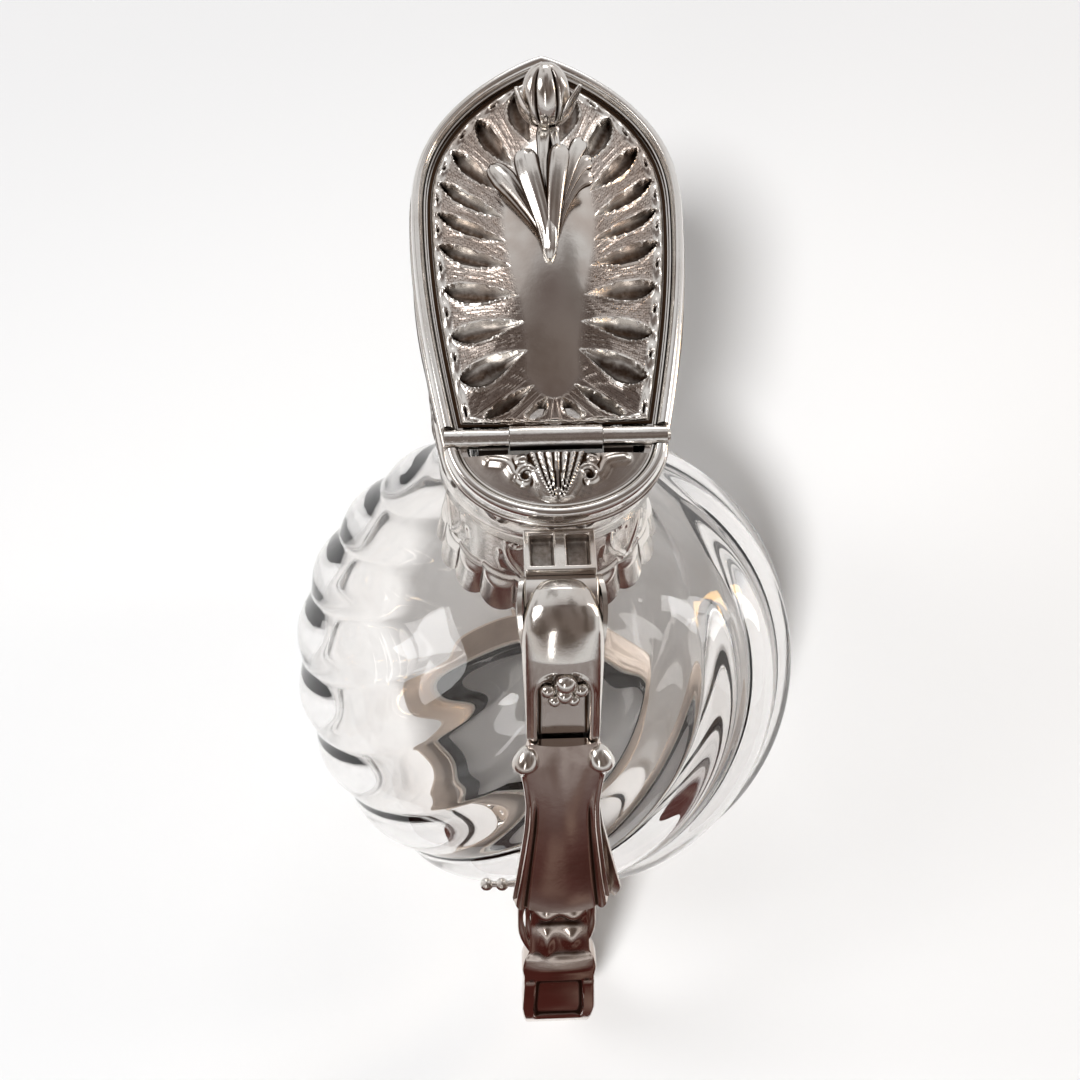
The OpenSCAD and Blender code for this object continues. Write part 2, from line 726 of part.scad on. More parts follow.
module finial_leaves() {
    root_v = stud_v - root_len + 3;
    root_w = crown_w(crown_v);
    upper = [[0, 0], [1 / 3, 0.095], [2 / 3, 0.124], [1, 0.162]] * frond_len;
    lower = [[0, 0], [0.286, 0.067], [0.571, 0.048], [0.81, -0.038]] * frond_len;
    color(silver)
        on_slope() {
            for (side = [-1, 1]) {
                translate([side * 2.5, root_v, root_w + 2.2])
                    blade(upper, frond_len * 0.21, 1.5, -side * 11);
                translate([side * 3.6, root_v, root_w + 0.9])
                    blade(lower, frond_len * 0.267, 1.4, -side * 33);
            }
        }
}

module finial_bud() {
    // Three petals show as lobes of a pointed, egg-shaped bud, held by two sepals
    function profile(t) = bud_r * pow(sin(180 * pow(t, 0.8)), 0.75);
    rings = [
        for (i = [0 : 10])
            let (t = lerp(0.03, 0.985, i / 10))
            [for (j = [0 : 23])
                let (r = profile(t) * (j % 8 == 0 ? 0.86 : 1))
                [r * cos(15 * j + 90), r * sin(15 * j + 90), bud_len * t]]
    ];
    color(silver)
        on_slope()
            translate([0, stud_v + bud_reach, bud_w])
                rotate([-(90 - bud_lean), 0, 0])
                    translate([0, 0, 0.9]) skin(rings);
}

module finial_nut() {
    top_w = crown_w(stud_v) - lid_plate - 0.8;
    color(dark_silver)
        on_slope()
            translate([0, stud_v, top_w - 2])
                difference() {
                    cylinder(r = 3.2, h = 2, $fn = 6);
                    translate([0, 0, -1]) cylinder(r = stud_r + 0.05, h = 4);
                }
}

// ---- Handle pieces ----

module handle_bracket() {
    low_z = bracket_top_z - bracket_h;
    wall = 1.4;
    steps = 4;
    color(silver)
        difference() {
            translate([-bracket_w / 2, 0, 0])
                rotate([90, 0, 90])
                    linear_extrude(bracket_w)
                        polygon(concat(
                            [for (i = [0 : steps]) let (z = lerp(low_z, bracket_top_z, i / steps)) [bowl_rear_y(z) - seat, z]],
                            [[bracket_end_y, bracket_top_z], [bracket_end_y, low_z + 1]]
                        ));
            for (side = [-1, 1])
                translate([side * (bracket_w / 4 - wall / 4) - (bracket_w / 2 - 1.5 * wall) / 2, bracket_end_y + wall, bracket_top_z - 3])
                    cube([bracket_w / 2 - 1.5 * wall, bracket_len - 2 * wall, 4]);
        }
}

// Rings of a strap along a curve of the outer face
function strap_rings(curve, w0, w1, t0, t1, steps, first) = [
    for (i = [first : steps])
        let (t = i / steps)
        strap_ring(bezier(curve, t), bezier_dir(curve, t), lerp(w0, w1, t), lerp(t0, t1, t))
];

module handle_upper_scroll() {
    color(silver)
        skin(strap_rings(upper_curve, handle_w, joint_w, handle_t + 1, handle_t, 14, 0));
}

// The hood ends, and the leaf starts and ends, at these shares of the upper curve
hood_end = 0.39;
leaf_start = 0.51;
leaf_end = 0.985;
// Half width of the leaf: narrow at its top, drawn in at its waist and spread at its lip
leaf_waist = 0.42;
function leaf_half(s) =
    (s < leaf_waist
        ? lerp(handle_w - 1, waist_w, ease(s / leaf_waist))
        : lerp(waist_w, lip_w, pow((s - leaf_waist) / (1 - leaf_waist), 1.6))) / 2;

module handle_thumb_leaf() {
    steps = 9;
    rings = [
        for (i = [0 : steps])
            let (
                s = i / steps,
                t = lerp(0.02, hood_end, s),
                h = hood_h * lerp(0.57, 1, sin(180 * clamp01(s * 0.8 + 0.15))) * (1 - 0.45 * pow(s, 4))
            )
            dome_ring(bezier(upper_curve, t), bezier_dir(upper_curve, t), hood_w * (0.86 + 0.14 * ease(s * 2)), h, seat)
    ];
    color(silver) skin(rings);
}

// A round bead or berry
module bead(r, sides = 12, rows = 5) {
    function ring(lat) = [
        for (j = [0 : sides - 1]) let (a = 360 * j / sides) r * [sin(lat) * cos(a), sin(lat) * sin(a), cos(lat)]
    ];
    skin([for (k = [rows : -1 : 1]) ring(180 * k / (rows + 1))], poles = [[0, 0, -r], [0, 0, r]]);
}

module handle_berries() {
    c = bezier(upper_curve, hood_end + 0.03);
    d = bezier_dir(upper_curve, hood_end + 0.03);
    out = [d[1], -d[0]];
    // A berry lies on the scroll's face at a place across it and on along it
    module berry(x, along, r) {
        up = r + fit;
        translate([x, c[0] + d[0] * along + out[0] * up, c[1] + d[1] * along + out[1] * up]) bead(r);
    }
    color(silver)
        union() {
            berry(0, 0, berry_r);
            berry(-berry_r * 1.5, 0.8, berry_r * 0.85);
            berry(berry_r * 1.5, 0.8, berry_r * 0.85);
            berry(0, berry_r * 1.5, berry_r * 0.8);
        }
}

module handle_lower_leaf() {
    steps = 14;
    rings = [
        for (i = [0 : steps])
            let (
                s = i / steps,
                t = lerp(leaf_start, leaf_end, s),
                lift = seat + leaf_lift * pow(s, 8)
            )
            dome_ring(bezier(upper_curve, t), bezier_dir(upper_curve, t), 2 * leaf_half(s), leaf_h, lift)
    ];
    color(silver) skin(rings);
}

module handle_side_scrolls() {
    steps = 10;
    bead_r = knob_r * 0.22;
    // A knob that thins to a bead along the leaf's edge, down to its waist
    function roll(side) = [
        for (i = [0 : steps])
            let (
                s = leaf_waist * i / steps,
                t = lerp(leaf_start, leaf_end, s),
                c = bezier(upper_curve, t),
                d = bezier_dir(upper_curve, t),
                out = [d[1], -d[0]],
                r = bead_r + (knob_r - bead_r) * sqrt(sin(180 * clamp01(0.04 + 0.9 * pow(i / steps, 0.45)))),
                x = side * (leaf_half(s) + seat + knob_r),
                lift = knob_r * 0.75
            )
            [for (j = [0 : 7])
                let (a = 45 * j) [x + r * cos(a), c[0] + out[0] * (lift + r * sin(a)), c[1] + out[1] * (lift + r * sin(a))]]
    ];
    color(silver) {
        skin(roll(-1));
        skin(roll(1));
    }
}

module handle_lower_scroll() {
    top = strap_rings(lower_curve, joint_w, handle_w + 3, handle_t, handle_t + 1, 9, 0);
    heel = strap_rings(heel_curve, handle_w + 3, 11, handle_t + 1, terminal_t, 12, 1);
    end = [for (p = heel[len(heel) - 1]) [p[0] * 0.9, -waist_r, p[2]]];
    color(silver)
        difference() {
            skin(concat(top, heel, [end]));
            // Its end is fitted round the foot and drilled for the screw
            rotate_extrude($fn = 96)
                polygon([
                    [waist_r - 3, terminal_z - 4],
                    [foot_r + seat, terminal_z - 4],
                    [foot_r + seat, foot_waist_z],
                    [waist_r + seat, foot_waist_z],
                    [waist_r + 0.6 + seat, foot_ring_h + 3.4],
                    [gallery_r + seat, gallery_lip_z],
                    [waist_r - 3, gallery_lip_z]
                ]);
            translate([0, -waist_r + 1, screw_z]) rotate([90, 0, 0]) cylinder(r = screw_r + 0.05, h = 11);
        }
}

module handle_sprig() {
    c = bezier(lower_curve, 0.05);
    x0 = -joint_w / 2 - seat;
    stalk = 10;
    color(silver)
        union() {
            translate([x0 - stalk, c[0] + handle_t / 2, c[1]]) rotate([0, 90, 0]) cylinder(r = 0.7, h = stalk, $fn = 16);
            translate([x0 - stalk - 0.5, c[0] + handle_t / 2, c[1]]) bead(1.6);
            translate([x0 - stalk + 3.2, c[0] + handle_t / 2 - 0.3, c[1] + 0.4]) bead(1.6);
        }
}

module handle_screw() {
    head_y = gallery_in_y + washer_t + 2 * seat;
    color(dark_silver)
        translate([0, head_y, screw_z])
            rotate([90, 0, 0]) {
                cylinder(r = screw_r, h = 10);
                translate([0, 0, -1.6]) cylinder(r = screw_head_r, h = 1.6);
            }
}

module handle_washer() {
    color(dark_silver)
        translate([0, gallery_in_y + washer_t + seat, screw_z])
            rotate([90, 0, 0])
                difference() {
                    cylinder(r = screw_head_r + 0.1, h = washer_t);
                    translate([0, 0, -1]) cylinder(r = screw_r + 0.05, h = washer_t + 2);
                }
}

// ---- Foot ----

module foot_cement() {
    inset = 0.2;
    color(plaster)
        rotate_extrude($fn = 96)
            polygon([
                [foot_in_r + inset, seat_z + seat],
                [base_r - 3 * inset, seat_z + seat],
                [base_r - 3 * inset, base_z - seat],
                [foot_in_r + inset, base_z - seat]
            ]);
}

module foot_gallery() {
    steps = 6;
    color(silver)
        difference() {
            rotate_extrude($fn = 96)
                polygon(concat(
                    [[foot_in_r, seat_z]],
                    [[dish_r0, seat_z]],
                    [for (i = [1 : steps]) let (r = lerp(dish_r0, dish_r1, i / steps)) [r, dish_z(r)]],
                    [
                        [gallery_r, gallery_lip_z + 1.2],
                        [gallery_r, gallery_lip_z],
                        [waist_r + 0.6, foot_ring_h + 3.4],
                        [waist_r, foot_ring_h + seat],
                        [waist_r - gallery_wall, foot_ring_h + seat],
                        [waist_r - gallery_wall, seat_z - gallery_wall],
                        [foot_in_r, seat_z - gallery_wall]
                    ]
                ));
            translate([0, -foot_in_r, screw_z]) rotate([90, 0, 0]) cylinder(r = screw_r + 0.05, h = 14);
        }
}

module foot_ring() {
    color(silver)
        rotate_extrude($fn = 96)
            difference() {
                union() {
                    translate([foot_r - foot_ring_w, 0]) square([foot_ring_w, foot_ring_h * 0.45]);
                    translate([foot_r - foot_ring_w, 0]) square([waist_r + 0.6 - foot_r + foot_ring_w, foot_ring_h]);
                    translate([foot_r - foot_ring_h * 0.3, foot_ring_h * 0.45]) circle(r = foot_ring_h * 0.3, $fn = 24);
                }
                translate([foot_r - 1, foot_ring_h * 1.3]) circle(r = foot_ring_h * 0.62, $fn = 24);
            }
}

glass_body();
neck_cement();
foot_cement();
neck_sleeve();
collar_apron();
spout_bowl();
mouth_rim();
rear_rim();
rear_cover();
hinge_knuckle_left();
hinge_knuckle_right();
hinge_knuckle_lid();
hinge_pin();
lid_shell();
lid_rim();
lid_bezel();
finial_stem();
finial_leaves();
finial_bud();
finial_nut();
handle_bracket();
handle_upper_scroll();
handle_thumb_leaf();
handle_berries();
handle_side_scrolls();
handle_lower_leaf();
handle_lower_scroll();
handle_sprig();
handle_screw();
handle_washer();
foot_gallery();
foot_ring();
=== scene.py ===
import math

import bpy
import numpy as np
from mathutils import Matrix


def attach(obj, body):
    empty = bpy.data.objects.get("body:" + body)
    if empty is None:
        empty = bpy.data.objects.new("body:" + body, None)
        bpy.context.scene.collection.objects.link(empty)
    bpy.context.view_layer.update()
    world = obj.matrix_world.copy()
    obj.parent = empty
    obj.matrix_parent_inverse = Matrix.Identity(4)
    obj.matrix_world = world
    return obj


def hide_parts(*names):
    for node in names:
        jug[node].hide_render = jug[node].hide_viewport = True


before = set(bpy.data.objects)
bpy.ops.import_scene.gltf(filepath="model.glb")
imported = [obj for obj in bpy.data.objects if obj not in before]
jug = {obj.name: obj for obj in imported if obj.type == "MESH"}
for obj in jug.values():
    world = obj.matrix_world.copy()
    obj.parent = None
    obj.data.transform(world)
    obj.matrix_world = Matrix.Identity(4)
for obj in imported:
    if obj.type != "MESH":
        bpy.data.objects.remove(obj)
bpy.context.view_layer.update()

bpy.ops.object.select_all(action="DESELECT")
scene = bpy.context.scene

# ---- Glass bulb -----------------------------------------------------------
# Blown clear glass with fifteen broad flutes that lean round the bulb, smooth inside, with a plain neck.
# The flutes are rounded lobes with a narrow valley between them, and they fade out at the shoulder and the base.
MM = 0.001
FLUTES = 15
BULB_R = 71.0
BULB_HALF = 60.0
BULB_MID = 62.003
SHOULDER_LAT = 22.35
BASE_LAT = 150.47
FLUTE_DEPTH = 2.0
FLUTE_TURN = 1.0246
NECK_R = 22.2
NECK_IN = 18.6
NECK_TOP = 149.995
FLOOR_IN = 14.3
INSIDE_R = 66.6
INSIDE_HALF = 56.6


def ease(t):
    t = np.clip(t, 0.0, 1.0)
    return t * t * (3.0 - 2.0 * t)


def bezier(points, t):
    p = [np.asarray(q, float) for q in points]
    t = np.asarray(t, float)[..., None]
    return (1 - t) ** 3 * p[0] + 3 * t * (1 - t) ** 2 * p[1] + 3 * t * t * (1 - t) * p[2] + t**3 * p[3]


def tidy(piece, weld=False, angle=42):
    """Welds seams and poles, turns the faces outwards and smooths all but the sharp edges."""
    bpy.ops.object.select_all(action="DESELECT")
    bpy.context.view_layer.objects.active = piece
    piece.select_set(True)
    bpy.ops.object.mode_set(mode="EDIT")
    bpy.ops.mesh.select_all(action="SELECT")
    if weld:
        bpy.ops.mesh.remove_doubles(threshold=2e-6)
    bpy.ops.mesh.normals_make_consistent(inside=False)
    bpy.ops.object.mode_set(mode="OBJECT")
    bpy.ops.object.shade_smooth_by_angle(angle=math.radians(angle))
    piece.select_set(False)


def skin(name, rows, wrap=True, caps=False, fields=None, weld=False, angle=42):
    """A mesh over rows of equally many points, given in millimetres."""
    grid = np.asarray(rows, float) * MM
    m, n = grid.shape[:2]
    here = np.arange(m * n).reshape(m, n)
    beside = np.roll(here, -1, axis=1)
    if not wrap:
        here, beside = here[:, :-1], beside[:, :-1]
    faces = np.stack([here[:-1], beside[:-1], beside[1:], here[1:]], -1).reshape(-1, 4).tolist()
    if caps:
        faces += [list(range(n))[::-1], list(range((m - 1) * n, m * n))]
    mesh = bpy.data.meshes.new(name)
    mesh.from_pydata(grid.reshape(-1, 3).tolist(), [], faces)
    for key, values in (fields or {}).items():
        mesh.attributes.new(key, "FLOAT", "POINT").data.foreach_set("value", np.asarray(values, np.float32).ravel())
    piece = bpy.data.objects.new(name, mesh)
    scene.collection.objects.link(piece)
    tidy(piece, weld, angle)
    return piece


def ring(reach, at, height):
    """Points round the upright axis, at the angles in radians."""
    return np.stack([reach * np.cos(at), reach * np.sin(at), height + 0 * at], -1)


turn = np.arange(0, 360, 1.0)
profile = [(0.0, 10.6, 90, 0), (20.0, 10.5, 90, 0), (30.0, 10.1, 90, 0), (33.5, 9.8, 90, 0)]
for lat in np.linspace(BASE_LAT, SHOULDER_LAT, 116):
    depth = FLUTE_DEPTH * float(ease((lat - 31) / 20) * ease((BASE_LAT - lat) / 20))
    profile.append(
        (BULB_R * math.sin(math.radians(lat)), BULB_MID + BULB_HALF * math.cos(math.radians(lat)), lat, depth)
    )
for r, z in bezier([(27, 117.495), (23.4, 118.295), (22.2, 119.095), (22.2, 121.495)], np.linspace(0.2, 1, 5)):
    profile.append((r, z, SHOULDER_LAT, 0))
for r, z in [(NECK_R, 135), (NECK_R, 149.3), (21.8, 149.8), (21.2, NECK_TOP), (19.5, NECK_TOP), (18.9, 149.8)]:
    profile.append((r, z, SHOULDER_LAT, 0))
for r, z in [(NECK_IN, 149.2), (NECK_IN, 135), (NECK_IN, 122), (NECK_IN + 0.25, 118.5)]:
    profile.append((r, z, SHOULDER_LAT, 0))
for lat in np.linspace(17.4, 146.5, 62):
    profile.append(
        (INSIDE_R * math.sin(math.radians(lat)), BULB_MID + INSIDE_HALF * math.cos(math.radians(lat)), lat, 0)
    )
for r, z in [(35.4, FLOOR_IN + 0.1), (33, FLOOR_IN), (22, FLOOR_IN), (0, FLOOR_IN)]:
    profile.append((r, z, BASE_LAT, 0))
rows = []
for r, z, lat, depth in profile:
    lobe = 0.45 * np.cos(np.radians(FLUTES * turn)) + 0.55 * (2 * np.abs(np.cos(np.radians(FLUTES * turn / 2))) - 1)
    at = np.radians(turn - FLUTE_TURN * (lat - 90))
    reach = r + depth / 2 * lobe
    rows.append(ring(reach, at, z))
glass = skin("bulb_glass", rows, weld=True, angle=60)


class Wire:
    """A socket in a material's node tree. Sums on it add Math nodes."""

    def __init__(self, tree, socket=None):
        self.tree, self.socket = tree, socket

    def put(self, target, value):
        if isinstance(value, Wire):
            self.tree.links.new(value.socket, target)
        else:
            target.default_value = value

    def node(self, kind, settings=None, out=0, **sockets):
        made = self.tree.nodes.new("ShaderNode" + kind)
        for key, value in (settings or {}).items():
            setattr(made, key, value)
        for key, value in sockets.items():
            self.put(made.inputs[int(key[1:])] if key[1:].isdigit() else made.inputs[key.replace("_", " ")], value)
        return Wire(self.tree, made.outputs[out])

    def mark(self, name):
        """A number that the mesh carries at its points."""
        return self.node("Attribute", {"attribute_name": name}, 2)

    def sum(self, operation, a, b):
        return self.node("Math", {"operation": operation}, i0=a, i1=b)

    def __add__(self, other):
        return self.sum("ADD", self, other)

    def __sub__(self, other):
        return self.sum("SUBTRACT", self, other)

    def __rsub__(self, other):
        return self.sum("SUBTRACT", other, self)

    def __mul__(self, other):
        return self.sum("MULTIPLY", self, other)

    __radd__, __rmul__ = __add__, __mul__

    def mix(self, low, high):
        """From one colour to another as this goes from 0 to 1."""
        return self.node("Mix", {"data_type": "RGBA"}, 2, i0=self, i6=low, i7=high)

    def ramp(self, low, high):
        """0 up to low and 1 from high, smooth between them."""
        return self.node("MapRange", {"interpolation_type": "SMOOTHSTEP"}, i0=self, i1=low, i2=high)


def new_look(name):
    look = bpy.data.materials.new(name)
    look.use_nodes = True
    return look, look.node_tree.nodes["Principled BSDF"], Wire(look.node_tree)


clear_glass, surface, wire = new_look("clear blown glass")
surface.inputs["Base Color"].default_value = (0.96, 0.95, 0.94, 1)
surface.inputs["Roughness"].default_value = 0.01
surface.inputs["IOR"].default_value = 1.5
surface.inputs["Transmission Weight"].default_value = 1.0
place = wire.node("TexCoord", out=3)
ripple = wire.node("TexNoise", Vector=place, Scale=26.0, Detail=2.0)
wire.put(surface.inputs["Normal"], wire.node("Bump", Strength=0.35, Distance=0.0006, Height=ripple))
glass.data.materials.append(clear_glass)
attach(glass, "jug")
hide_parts("glass_body")

# ---- Setting plaster ------------------------------------------------------
# The glass is bedded in plaster, in the sleeve round its neck and on the ledge of the foot.
setting_plaster, surface, wire = new_look("setting plaster")
place = wire.node("TexCoord", out=3)
grain = wire.node("TexNoise", Vector=place, Scale=900.0, Detail=3.0)
wire.put(surface.inputs["Base Color"], grain.mix((0.74, 0.70, 0.62, 1), (0.86, 0.83, 0.76, 1)))
surface.inputs["Roughness"].default_value = 0.9


def dress(look, *names):
    """Gives a look to pieces that keep their own solids."""
    for name in names:
        jug[name].data.materials.clear()
        jug[name].data.materials.append(look)


dress(setting_plaster, "neck_cement", "foot_cement")

# ---- Foot and neck sleeve -------------------------------------------------
# The gallery and the moulded ring are spun silver, and so is the plain sleeve round the neck. The
# ring and the sleeve are polished, and the gallery is duller.


BRIGHT = (0.86, 0.84, 0.81, 1)
TARNISH = (0.50, 0.41, 0.35, 1)
PATINA_AND_SHADE = (0.060, 0.034, 0.020, 1)


def silver(name, colour, tarnish, shine, patina_and_shade=1.0, stipple=0.0, grain_scale=1.0):
    """Silver with a warm tarnish in broad patches, fine wear, and dark patina and painted shade where the piece's
    mark says so.
    """
    look, surface, wire = new_look(name)
    place = wire.node("TexCoord", out=3)
    cloud = wire.node("TexNoise", Vector=place, Scale=55.0 * grain_scale, Detail=3.0, Roughness=0.6)
    fine = wire.node("TexNoise", Vector=place, Scale=620.0 * grain_scale, Detail=4.0, Roughness=0.7)
    hollow = wire.mark("patina_and_shade")
    # The mark holds patina from the hollows and, on some pieces, painted shade; both darken the tint below.
    worn = hollow * patina_and_shade + (fine - 0.5) * 0.35 * patina_and_shade * hollow.ramp(0.02, 0.4)
    dark = worn.ramp(0.12, 0.85)
    warm = cloud.ramp(0.42, 0.72) * tarnish
    tint = warm.mix(colour, TARNISH)
    tint = dark.mix(tint, PATINA_AND_SHADE)
    surface.inputs["Metallic"].default_value = 1.0
    wire.put(surface.inputs["Roughness"], cloud * 0.10 + fine * 0.10 + dark * 0.35 + (shine - 0.1))
    height = fine * 0.4 + cloud * 0.6
    if stipple:
        across = wire.mark("across")
        along = wire.mark("along")
        band = wire.mark("band")
        spot = wire.node("CombineXYZ", X=along, Y=across)
        bricks = wire.node(
            "TexBrick", {"offset": 0.5}, out=1, Vector=spot, Scale=1.0, Mortar_Size=0.12, Mortar_Smooth=0.4,
            Brick_Width=1.1, Row_Height=0.72,
        )
        blots = wire.node("TexNoise", Vector=spot, Scale=0.8, Detail=2.0)
        punched = bricks * band * blots.ramp(0.35, 0.55)
        height = height - punched * stipple
        tint = (band * 0.65).mix(tint, (0.34, 0.27, 0.23, 1))
        tint = (punched * 0.75).mix(tint, (0.10, 0.06, 0.04, 1))
    wire.put(surface.inputs["Base Color"], tint)
    wire.put(surface.inputs["Normal"], wire.node("Bump", Strength=0.22, Distance=0.0003, Height=height))
    return look


polished = silver("polished silver", BRIGHT, 0.35, 0.13)
dress(polished, "neck_sleeve", "foot_ring")
dull = silver("dull foot silver", (0.74, 0.63, 0.54, 1), 0.6, 0.44)
dress(dull, "foot_gallery")

# ---- Chased apron ---------------------------------------------------------
# A skirt of thin silver round the sleeve, lying on the glass shoulder. Its lower part is gadrooned and its edge
# is lobed, and small chased leaves stand above the gadroons, under a plain bead.
APRON_R = 25.28
APRON_LOW = 118.1
APRON_TOP = 145.9
APRON_LOBES = 18
APRON_FLARE = 2.4
LOBE_CUT = 1.9
GADROON_PART = 0.40
BEAD_Z = 144.7
BEAD_R = 1.1


def ridge(x, y, path, width):
    """1 on a path and 0 away from it, for each point x, y."""
    best = np.full(np.shape(x), 1e9)
    for (ax, ay), (bx, by) in zip(path[:-1], path[1:]):
        length = max((bx - ax) ** 2 + (by - ay) ** 2, 1e-9)
        t = np.clip(((x - ax) * (bx - ax) + (y - ay) * (by - ay)) / length, 0, 1)
        best = np.minimum(best, (x - ax - t * (bx - ax)) ** 2 + (y - ay - t * (by - ay)) ** 2)
    return np.exp(-best / width**2)


def curl(cx, cy, radius, start, sweep, steps=16):
    """A spiral path that winds in to its centre."""
    t = np.linspace(0, 1, steps)
    a = np.radians(start + sweep * t)
    r = radius * (1 - 0.82 * t)
    return list(zip(cx + r * np.cos(a), cy + r * np.sin(a)))


def mirrored(side, path):
    """The path itself for side 1, and its mirror image for side -1."""
    return [(side * x, y) for x, y in path]


def leaf_work(x, y):
    """Height of the chased scrolls in one repeat, 14 wide and 15 high, with x = 0 in its middle."""
    work = np.zeros(np.shape(x))
    for side in (-1, 1):
        stem = mirrored(side, bezier([(0.6, 0.5), (3.2, 3.0), (5.8, 6.5), (4.6, 11.0)], np.linspace(0, 1, 14)))
        work = np.maximum(work, ridge(x, y, stem, 0.62))
        work = np.maximum(work, ridge(x, y, mirrored(side, curl(3.2, 10.6, 1.9, 0, 420)), 0.42))
        work = np.maximum(work, 0.8 * ridge(x, y, [(side * 5.9, 2.2), (side * 6.6, 4.4), (side * 6.3, 6.6)], 0.5))
    work = np.maximum(work, 0.9 * ridge(x, y, [(0, 3.2), (0, 6.0), (0, 8.4)], 0.75))
    return work


def hollows(piece, depth, rounds=8, least=0.0):
    """Stores patina where a point lies below the surface smoothed around it, fullest at that depth."""
    mesh = piece.data
    count = len(mesh.vertices)
    here = np.zeros(count * 3)
    mesh.vertices.foreach_get("co", here)
    here = here.reshape(-1, 3)
    out = np.zeros(count * 3)
    mesh.vertices.foreach_get("normal", out)
    out = out.reshape(-1, 3)
    pairs = np.zeros(len(mesh.edges) * 2, int)
    mesh.edges.foreach_get("vertices", pairs)
    a, b = pairs.reshape(-1, 2).T
    weight = np.bincount(a, minlength=count) + np.bincount(b, minlength=count)
    weight = np.maximum(weight, 1)
    soft = here.copy()
    for _ in range(rounds):
        soft = np.stack(
            [(np.bincount(a, soft[b, k], count) + np.bincount(b, soft[a, k], count)) / weight for k in range(3)], -1,
        )
    below = np.einsum("ij,ij->i", soft - here, out) / MM
    value = np.clip(below / depth, 0, 1)
    found = mesh.attributes.get("patina_and_shade")
    if found:
        old = np.zeros(count, np.float32)
        found.data.foreach_get("value", old)
        value = np.maximum(value, old)
    else:
        found = mesh.attributes.new("patina_and_shade", "FLOAT", "POINT")
    found.data.foreach_set("value", np.maximum(value, least).astype(np.float32))


turn = np.arange(0, 360, 0.75)
lobe = np.abs(np.cos(np.radians(APRON_LOBES * turn / 2)))
rows = []
for t in np.linspace(0, 1, 64):
    low = APRON_LOW + LOBE_CUT * (1 - lobe**0.6)
    z = low + (APRON_TOP - low) * t
    flare = APRON_FLARE * (1 - t) ** 3
    lobes = 1.3 * lobe**0.7 * ease((GADROON_PART - t) / 0.14)
    across = ((turn + 12) % 60 - 30) * 0.36
    work = 0.55 * leaf_work(across, (t - GADROON_PART) * 22) * ease((t - 0.38) / 0.03) * ease((0.93 - t) / 0.04)
    bead = 1.0 * np.sqrt(np.clip(1 - ((z - BEAD_Z) / BEAD_R) ** 2, 0, 1))
    roll = 0.5 * np.exp(-(((t - 0.385) / 0.018) ** 2))
    reach = APRON_R + flare + np.maximum(lobes - 0.3, -0.3) + work + bead + roll
    at = np.radians(turn)
    rows.append(ring(reach, at, z))
for t in np.linspace(1, 0, 10):
    low = APRON_LOW + LOBE_CUT * (1 - lobe**0.6)
    z = low + (APRON_TOP - low) * t
    reach = APRON_R - 1.0 + APRON_FLARE * (1 - t) ** 3
    rows.append(ring(reach, at, z))
rows.append(rows[0])
apron = skin("chased_apron", rows, weld=True)
hollows(apron, 0.34, 10)
chased = silver("chased silver", (0.82, 0.79, 0.75, 1), 0.7, 0.17, patina_and_shade=1.15)
apron.data.materials.append(chased)
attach(apron, "jug")
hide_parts("collar_apron")

# ---- Spout bowl -----------------------------------------------------------
# Raised sheet silver that opens from the round neck to the long, sloping, pointed mouth. It is soldered over the
# sleeve and under the mouth rim, and chased with leaf scrolls that rise from its foot.
SLOPE = math.radians(18.6)
HINGE_Y = -28.0
HINGE_Z = 185.995
MOUTH_HALF = 23.8
LID_HALF = 30.5
BELLY_V = 55.0
LID_LEN = 96.0
REAR_DEEP = 18.5
BOWL_FOOT_Z = 145.995
BOWL_FLARE_Z = 148.995
BOWL_FOOT_R = 25.75
BOWL_WALL = 1.3


def on_slope(points):
    """From the sloping plane's own axes (across, along, above) to the jug's."""
    x, v, w = np.moveaxis(np.asarray(points, float), -1, 0)
    y = HINGE_Y + v * math.cos(SLOPE) - w * math.sin(SLOPE)
    z = HINGE_Z + v * math.sin(SLOPE) + w * math.cos(SLOPE)
    return np.stack([x, y, z], -1)


def half_width(v, inset):
    v = np.asarray(v, float)
    rear = MOUTH_HALF - inset + (LID_HALF - MOUTH_HALF) * np.sin(np.radians(90 * np.clip(v, 0, None) / BELLY_V))
    far = LID_LEN - 1.15 * inset
    front = (LID_HALF - inset) * np.clip(1 - np.abs((v - BELLY_V) / (far - BELLY_V)) ** 2.4, 0, None) ** 0.85
    return np.where(v < BELLY_V, rear, front)


def side_line(inset, start, steps, tip_steps):
    """The edge's right side, from a place near the hinge to the point of the spout."""
    v = np.concatenate(
        [
            np.linspace(start, BELLY_V, steps, endpoint=False),
            BELLY_V + (LID_LEN - 1.15 * inset - BELLY_V) * np.sin(np.linspace(0, math.pi / 2, tip_steps)),
        ]
    )
    return np.stack([half_width(v, inset), v], -1)


def rear_line(inset, first, last, steps):
    a = np.radians(np.linspace(first, last, steps))
    return np.stack([(MOUTH_HALF - inset) * np.sin(a), -(REAR_DEEP - inset) * np.cos(a)], -1)


def mouth_line(inset):
    right = np.concatenate([rear_line(inset, 0, 90, 60)[:-1], side_line(inset, 0, 90, 80)])
    left = right[1:-1][::-1] * [-1, 1]
    return np.concatenate([right, left])


def thicken(piece, wall, offset=-1):
    """Gives a surface a sheet's thickness in millimetres, inwards, or to both sides where the offset is 0."""
    sheet = piece.modifiers.new("sheet thickness", "SOLIDIFY")
    sheet.thickness = wall * MM
    sheet.offset = offset
    bpy.context.view_layer.objects.active = piece
    bpy.ops.object.modifier_apply(modifier="sheet thickness")


